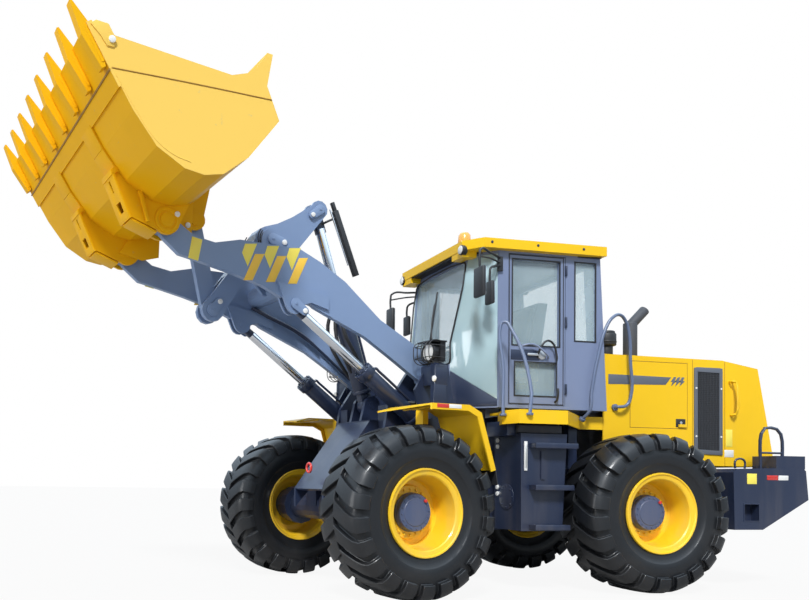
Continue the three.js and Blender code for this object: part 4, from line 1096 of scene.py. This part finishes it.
def mirror_set():
    arms = [tube([(-0.030, 0.815, 3.380), (0.150, 0.930, 3.392), (0.318, 1.034, 3.385), (0.330, 1.040, 3.340),
                  (0.330, 1.040, 3.200)], 0.012),
            tube([(-0.030, 0.815, 3.330), (0.150, 0.930, 3.336), (0.330, 1.040, 3.315)], 0.009),
            tube([(-0.030, 0.815, 3.300), (0.080, 0.890, 3.270), (0.150, 0.934, 3.230), (0.160, 0.940, 3.180),
                  (0.160, 0.940, 3.090)], 0.012),
            block((-0.030, 0.815, 3.320), (0.056, 0.026, 0.150), 0.006)]
    heads = [block((0.330, 1.040, 3.060), (0.044, 0.180, 0.300), 0.018), block((0.160, 0.940, 2.983),
                                                                              (0.044, 0.130, 0.234), 0.016)]
    faces = [block((0.307, 1.040, 3.060), (0.004, 0.158, 0.276), 0.001),
             block((0.137, 0.940, 2.983), (0.004, 0.110, 0.212), 0.001)]
    return join(arms + heads), join(faces)


body, faces = mirror_set()
twin, twin_faces = copy(body, MIRROR), copy(faces, MIRROR)
for one, face, side in ((body, faces, "left"), (twin, twin_faces, "right")):
    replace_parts(settle(one, f"mirror_set_{side}", black_plastic, "rear_body"), f"mirror_{side}")
    settle(face, f"mirror_faces_{side}", mirror_face, "rear_body")
stack = join([drum((-2.056, 0.200, 2.479), (-2.056, 0.200, 2.930), 0.075, 0.012, 40),
              drum((-2.056, 0.200, 2.479), (-2.056, 0.200, 2.500), 0.100, 0.006, 40),
              drum((-2.046, 0.200, 2.890), (-2.245, 0.200, 3.090), 0.056, 0.004, 32)])
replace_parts(settle(stack, "silencer", cast_iron, "rear_body"), "exhaust")
cleaner = join([drum((-1.665, 0.300, 2.479), (-1.665, 0.300, 2.645), 0.070, 0.006, 32),
                drum((-1.665, 0.300, 2.633), (-1.665, 0.300, 2.770), 0.105, 0.012, 40),
                drum((-1.665, 0.300, 2.760), (-1.665, 0.300, 2.800), 0.092, 0.016, 40),
                drum((-1.665, 0.300, 2.668), (-1.665, 0.300, 2.684), 0.109, 0.004, 40)])
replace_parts(settle(cleaner, "intake_precleaner", black_plastic, "rear_body"), "air_intake")
print("rails, mirrors and stacks made")

# %% [markdown]
# ## The hood
#
# Folded sheet with joins between its panels. Each side has a framed mesh over the radiator, a grey band with
# slanted ends, a paddle latch and a grab handle.

# %% Hood sides
HOOD = 0.680
seam_paint = paint("seam_paint", (0.42, 0.22, 0.012), gloss=0.5)
vent_frame = plate([(-2.468, 1.430), (-2.832, 1.418), (-2.832, 2.376), (-2.790, 2.381), (-2.500, 2.381),
                    (-2.468, 2.370)], HOOD - 0.002, HOOD + 0.014, 0.003,
                   ([(-2.510, 1.478), (-2.790, 1.466), (-2.790, 2.326), (-2.510, 2.330)],))
on_sides(vent_frame, "radiator_vent_frame", grey_mark, "rear_body")
wires = [drum((x, HOOD + 0.007, 1.45), (x, HOOD + 0.007, 2.34), 0.0030, 0, 6)
         for x in [-2.510 - 0.020 * i for i in range(15)]]
wires += [drum((-2.800, HOOD + 0.006, z), (-2.500, HOOD + 0.006, z), 0.0030, 0, 6)
          for z in [1.450 + 0.020 * i for i in range(45)]]
on_sides(join(wires), "radiator_mesh", black_plastic, "rear_body")
# A dark sheet just behind the mesh: partly the radiator core's own dark colour, and partly painted shade
# standing for the deep bay behind the vent.
backing = block((-2.650, HOOD + 0.0015, 1.900), (0.30, 0.003, 0.90), 0)
on_sides(backing, "vent_shade_sheet", cast_iron, "rear_body")
for number, (x, z) in enumerate(((-2.489, 2.15), (-2.489, 1.62), (-2.811, 2.15), (-2.811, 1.62)), 1):
    stud = drum((x, HOOD + 0.012, z), (x, HOOD + 0.020, z), 0.011, 0.003, 14)
    on_sides(stud, f"vent_stud_{number}", lamp_white, "rear_body")
mark([(-1.400, 2.262), (-1.400, 2.155), (-1.662, 2.161), (-1.662, 2.260)], HOOD, "hood_band_front", grey_mark,
     "rear_body")
mark([(-1.674, 2.260), (-1.674, 2.161), (-2.110, 2.172), (-2.180, 2.256)], HOOD, "hood_band_rear", grey_mark,
     "hood_door_SIDE")
for number in range(3):
    x = -2.215 - 0.052 * number
    dash = [(x, 2.262), (x - 0.030, 2.262), (x - 0.012, 2.222), (x - 0.036, 2.222), (x + 0.034, 2.160),
            (x + 0.018, 2.206), (x + 0.042, 2.206)]
    mark(dash, HOOD, f"hood_dash_{number + 1}", grey_mark, "hood_door_SIDE")
for name, x, low, high in (("front", -1.352, 1.86, 2.470), ("panel", -2.452, 1.345, 2.462),
                           ("tail", -2.870, 1.300, 2.455)):
    groove = block((x, HOOD, (low + high) / 2), (0.006, 0.003, high - low), 0)
    on_sides(groove, f"hood_seam_{name}", seam_paint, "rear_body")
door_gap = gasket((-2.388, -1.667), (1.697, 2.418), HOOD - 0.0018, 0.005, 0.003)
on_sides(door_gap, "hood_door_gap", seam_paint, "hood_door_SIDE")
latch = block((-2.300, HOOD + 0.002, 1.760), (0.120, 0.008, 0.090), 0.003)
on_sides(latch, "hood_latch", black_plastic, "hood_door_SIDE")
latch_key = drum((-2.300, HOOD + 0.004, 1.762), (-2.300, HOOD + 0.014, 1.762), 0.015, 0.003, 16)
on_sides(latch_key, "hood_latch_key", zinc_steel, "hood_door_SIDE")
pull = tube([(-2.925, HOOD, 2.235), (-2.925, HOOD + 0.050, 2.235), (-2.955, HOOD + 0.062, 2.225),
             (-2.975, HOOD + 0.062, 2.180), (-2.985, HOOD + 0.062, 1.930), (-2.975, HOOD + 0.055, 1.885),
             (-2.945, HOOD + 0.050, 1.868), (-2.945, HOOD, 1.868)], 0.011)
on_sides(pull, "hood_grab_handle", yellow_paint, "rear_body")
for number, (z, w, h, finish) in enumerate(((1.610, 0.085, 0.190, mark_yellow),
                                            (1.440, 0.120, 0.080, lamp_white)), 1):
    blank = block((-2.925, HOOD + 0.001, z), (w, 0.003, h), 0.001)
    on_sides(blank, f"hood_plate_{number}", finish, "rear_body")
print("hood dressed")

# %% [markdown]
# The radiator grille at the back is crossed by ten slats, each tipped to shed rain.

# %% Hood rear
louvres = [block((-3.470 + (z - 1.5) * 0.205 + 0.004, 0, z), (0.012, 1.06, 0.010), 0.002, (0, 0.6, 0))
           for z in [1.56 + 0.07 * i for i in range(10)]]
settle(join(louvres), "rear_louvres", black_plastic, "rear_body")

# %% [markdown]
# ## Steps, tank, counterweight and waist
#
# Perforated treads stop boots slipping. The tank has a sight gauge in a white guard, bolted covers and a
# filler. At the waist, pins and bolts show between the tank and the front wheel. The counterweight carries
# reflectors, a hand loop and the tail lamps.

# %% Steps and tank
for number, (z, depth) in enumerate(((1.450, 0.631), (1.040, 0.588), (0.650, 0.545)), 1):
    holes = [circle((x, y), 0.016, 0, 360, 10)[:-1]
             for x in [-0.205 - 0.055 * i for i in range(int((depth - 0.22) / 0.055))]
             for y in (1.165, 1.212)]
    tread = plate([(-0.165, 1.128), (-0.165, 1.240), (-depth, 1.240), (-depth, 1.128)], z + 0.017, z + 0.024,
                  0.001,
                  holes, "XY")
    edge = block((-(0.165 + depth) / 2, 1.240, z), (depth - 0.165, 0.010, 0.052), 0.003)
    on_sides(join([tread, edge]), f"step_tread_{number}", frame_paint, "rear_body")
gauge = block((-0.123, 1.137, 1.347), (0.034, 0.014, 0.290), 0.005)
on_sides(gauge, "tank_gauge", lamp_white, "rear_body")
sight = drum((-0.123, 1.147, 1.235), (-0.123, 1.147, 1.460), 0.007, 0.002, 12)
on_sides(sight, "tank_sight_glass", zinc_steel, "rear_body")
cover_ring = drum((0.105, 0, 0), (0.105, 0, 0.012), 0.009, 0.002, 8)
cover = join([drum((0, 0, 0), (0, 0, 0.006), 0.130, 0.003, 36), ring_of(cover_ring, 8, "Z")])
remove(cover_ring)
cover.data.transform(Matrix.Translation((-0.078, 0.880, 0.940)) @ Matrix.Rotation(math.pi / 2, 4, "Y"))
on_sides(cover, "tank_cover", frame_paint, "rear_body")
waist = join([block((-0.560, 0, 1.560), (0.780, 1.000, 0.440), 0.010),
              block((-0.300, 0.590, 1.300), (0.240, 0.110, 0.960), 0.006),
              block((-0.300, -0.590, 1.300), (0.240, 0.110, 0.960), 0.006)])
settle(waist, "valve_housing", frame_paint, "rear_body")
for number, z in enumerate((1.516, 1.452, 1.036, 0.968), 1):
    pin_cap = drum((-0.080, 0.720, z), (-0.062, 0.720, z), 0.024, 0.005, 20)
    on_sides(pin_cap, f"waist_cap_{number}", lamp_white, "rear_body")
shelf = join([plate([(-0.085, 1.580), (-0.560, 1.580), (-0.560, 1.655), (-0.085, 1.655)], 0.700, 1.080,
                    0.004),
              drum((-0.20, 0.98, 1.57), (-0.20, 0.98, 1.66), 0.040, 0.004, 24),
              drum((-0.40, 1.02, 1.57), (-0.40, 1.02, 1.66), 0.030, 0.004, 24)])
on_sides(shelf, "tank_top", cast_iron, "rear_body")
valance = block((-0.028, 0.850, 1.625), (0.095, 0.380, 0.150), 0.004)
on_sides(valance, "deck_valance", frame_paint, "rear_body")
print("steps dressed")

# %% [markdown]
# Behind, the counterweight has a framed pocket on each side and a drop pin for towing.

# %% Counterweight
WEIGHT = 1.100
for name, finish, x0, x1, z0, z1 in (
        ("red", red_lens, -3.130, -2.990, 1.150, 1.200), ("white", lamp_white, -3.260, -3.135, 1.150, 1.200),
        ("plate", mark_yellow, -2.860, -2.740, 1.105, 1.215)):
    patch = block(((x0 + x1) / 2, WEIGHT + 0.001, (z0 + z1) / 2), (x1 - x0, 0.003, z1 - z0), 0.001)
    on_sides(patch, f"weight_{name}", finish, "rear_body")
hoop = tube([(-2.690, 1.000, 1.270), (-2.690, 1.000, 1.345), (-2.710, 1.000, 1.365), (-2.790, 1.000, 1.365),
             (-2.810, 1.000, 1.345), (-2.810, 1.000, 1.270)], 0.011)
on_sides(hoop, "weight_hand_loop", frame_paint, "rear_body")
crossbar = drum((-2.966, 1.050, 1.440), (-3.234, 1.050, 1.440), 0.011, 0, 16)
on_sides(crossbar, "rail_crossbar", frame_paint, "rear_body")
for name, finish, y in (("stop", red_lens, 0.990), ("turn", amber, 0.870)):
    lamp = drum((-3.496, y, 1.340), (-3.512, y, 1.340), 0.046, 0.006, 28)
    on_sides(lamp, f"{name}_lamp", finish, "rear_body")
pocket = gasket((-2.897, -2.694), (0.708, 0.902), WEIGHT - 0.002, 0.012, 0.006)
on_sides(pocket, "weight_pocket_rim", frame_paint, "rear_body")
tow_pin = join([block((-3.515, 0, 0.760), (0.060, 0.200, 0.022), 0.004),
                block((-3.515, 0, 0.880), (0.060, 0.200, 0.022),
                                                                              0.004),
                drum((-3.520, 0, 0.725), (-3.520, 0, 0.930), 0.022, 0.004, 20)])
settle(tow_pin, "tow_pin", frame_paint, "rear_body")
print("rear dressed")

# %% [markdown]
# ## The operator's place
#
# The seat is two padded cushions on a boxed base. Each pad is a block, subdivided and rounded, then displaced
# a few millimetres by a soft cloud so that its cloth looks sat on.

# %% Seat cushions


def cushion(centre, size, name, crown, turn=(0, 0, 0)):
    """A pad that is subdivided, crowned by a gentle displacement along its normals, and creased across."""
    pad = block(centre, size, 0.035, turn)
    only(pad)
    bpy.ops.object.mode_set(mode="EDIT")
    bpy.ops.mesh.select_all(action="SELECT")
    bpy.ops.mesh.subdivide(number_cuts=4, smoothness=crown)
    bpy.ops.object.mode_set(mode="OBJECT")
    apply_modifier(pad, "SUBSURF", levels=1)
    folds = bpy.data.textures.new(f"{name}_folds", "CLOUDS")
    folds.noise_scale = 0.11
    apply_modifier(pad, "DISPLACE", texture=folds, strength=0.008, texture_coords="LOCAL")
    apply_modifier(pad, "SMOOTH", factor=0.5, iterations=2)
    settle(pad, name, seat_cloth, "rear_body")


cushion((-0.520, 0, 2.440), (0.500, 0.500, 0.090), "seat_cushion", 0.6)
cushion((-0.742, 0, 2.760), (0.070, 0.470, 0.560), "seat_back_cushion", 0.6, (0, -0.23, 0))
print("seat padded")

# %% [markdown]
# ## The floor
#
# The floor is one large plane. To the camera it is almost all glow, so that it runs into the white backdrop,
# and the small part that is real paint still takes the machine's shadow. To every other ray it is mid grey.

# %% Floor and finish
bpy.ops.mesh.primitive_plane_add(size=160, location=(0, 0, -0.002))
floor = bpy.context.object
floor.name = "floor"
floor_finish = Finish("floor_white")
floor_finish.set(Base_Color=(0.42, 0.42, 0.42), Roughness=0.9)
tree = floor_finish.tree
glow = tree.nodes.new("ShaderNodeEmission")
glow.inputs["Color"].default_value = (1, 1, 1, 1)
blend = tree.nodes.new("ShaderNodeMixShader")
seen = floor_finish.node("ShaderNodeLightPath", output="Is Camera Ray")
tree.links.new((seen * 0.92).socket, blend.inputs["Fac"])
tree.links.new(floor_finish.shader.outputs[0], blend.inputs[1])
tree.links.new(glow.outputs[0], blend.inputs[2])
tree.links.new(blend.outputs[0], tree.nodes["Material Output"].inputs["Surface"])
floor.data.materials.append(floor_finish.material)
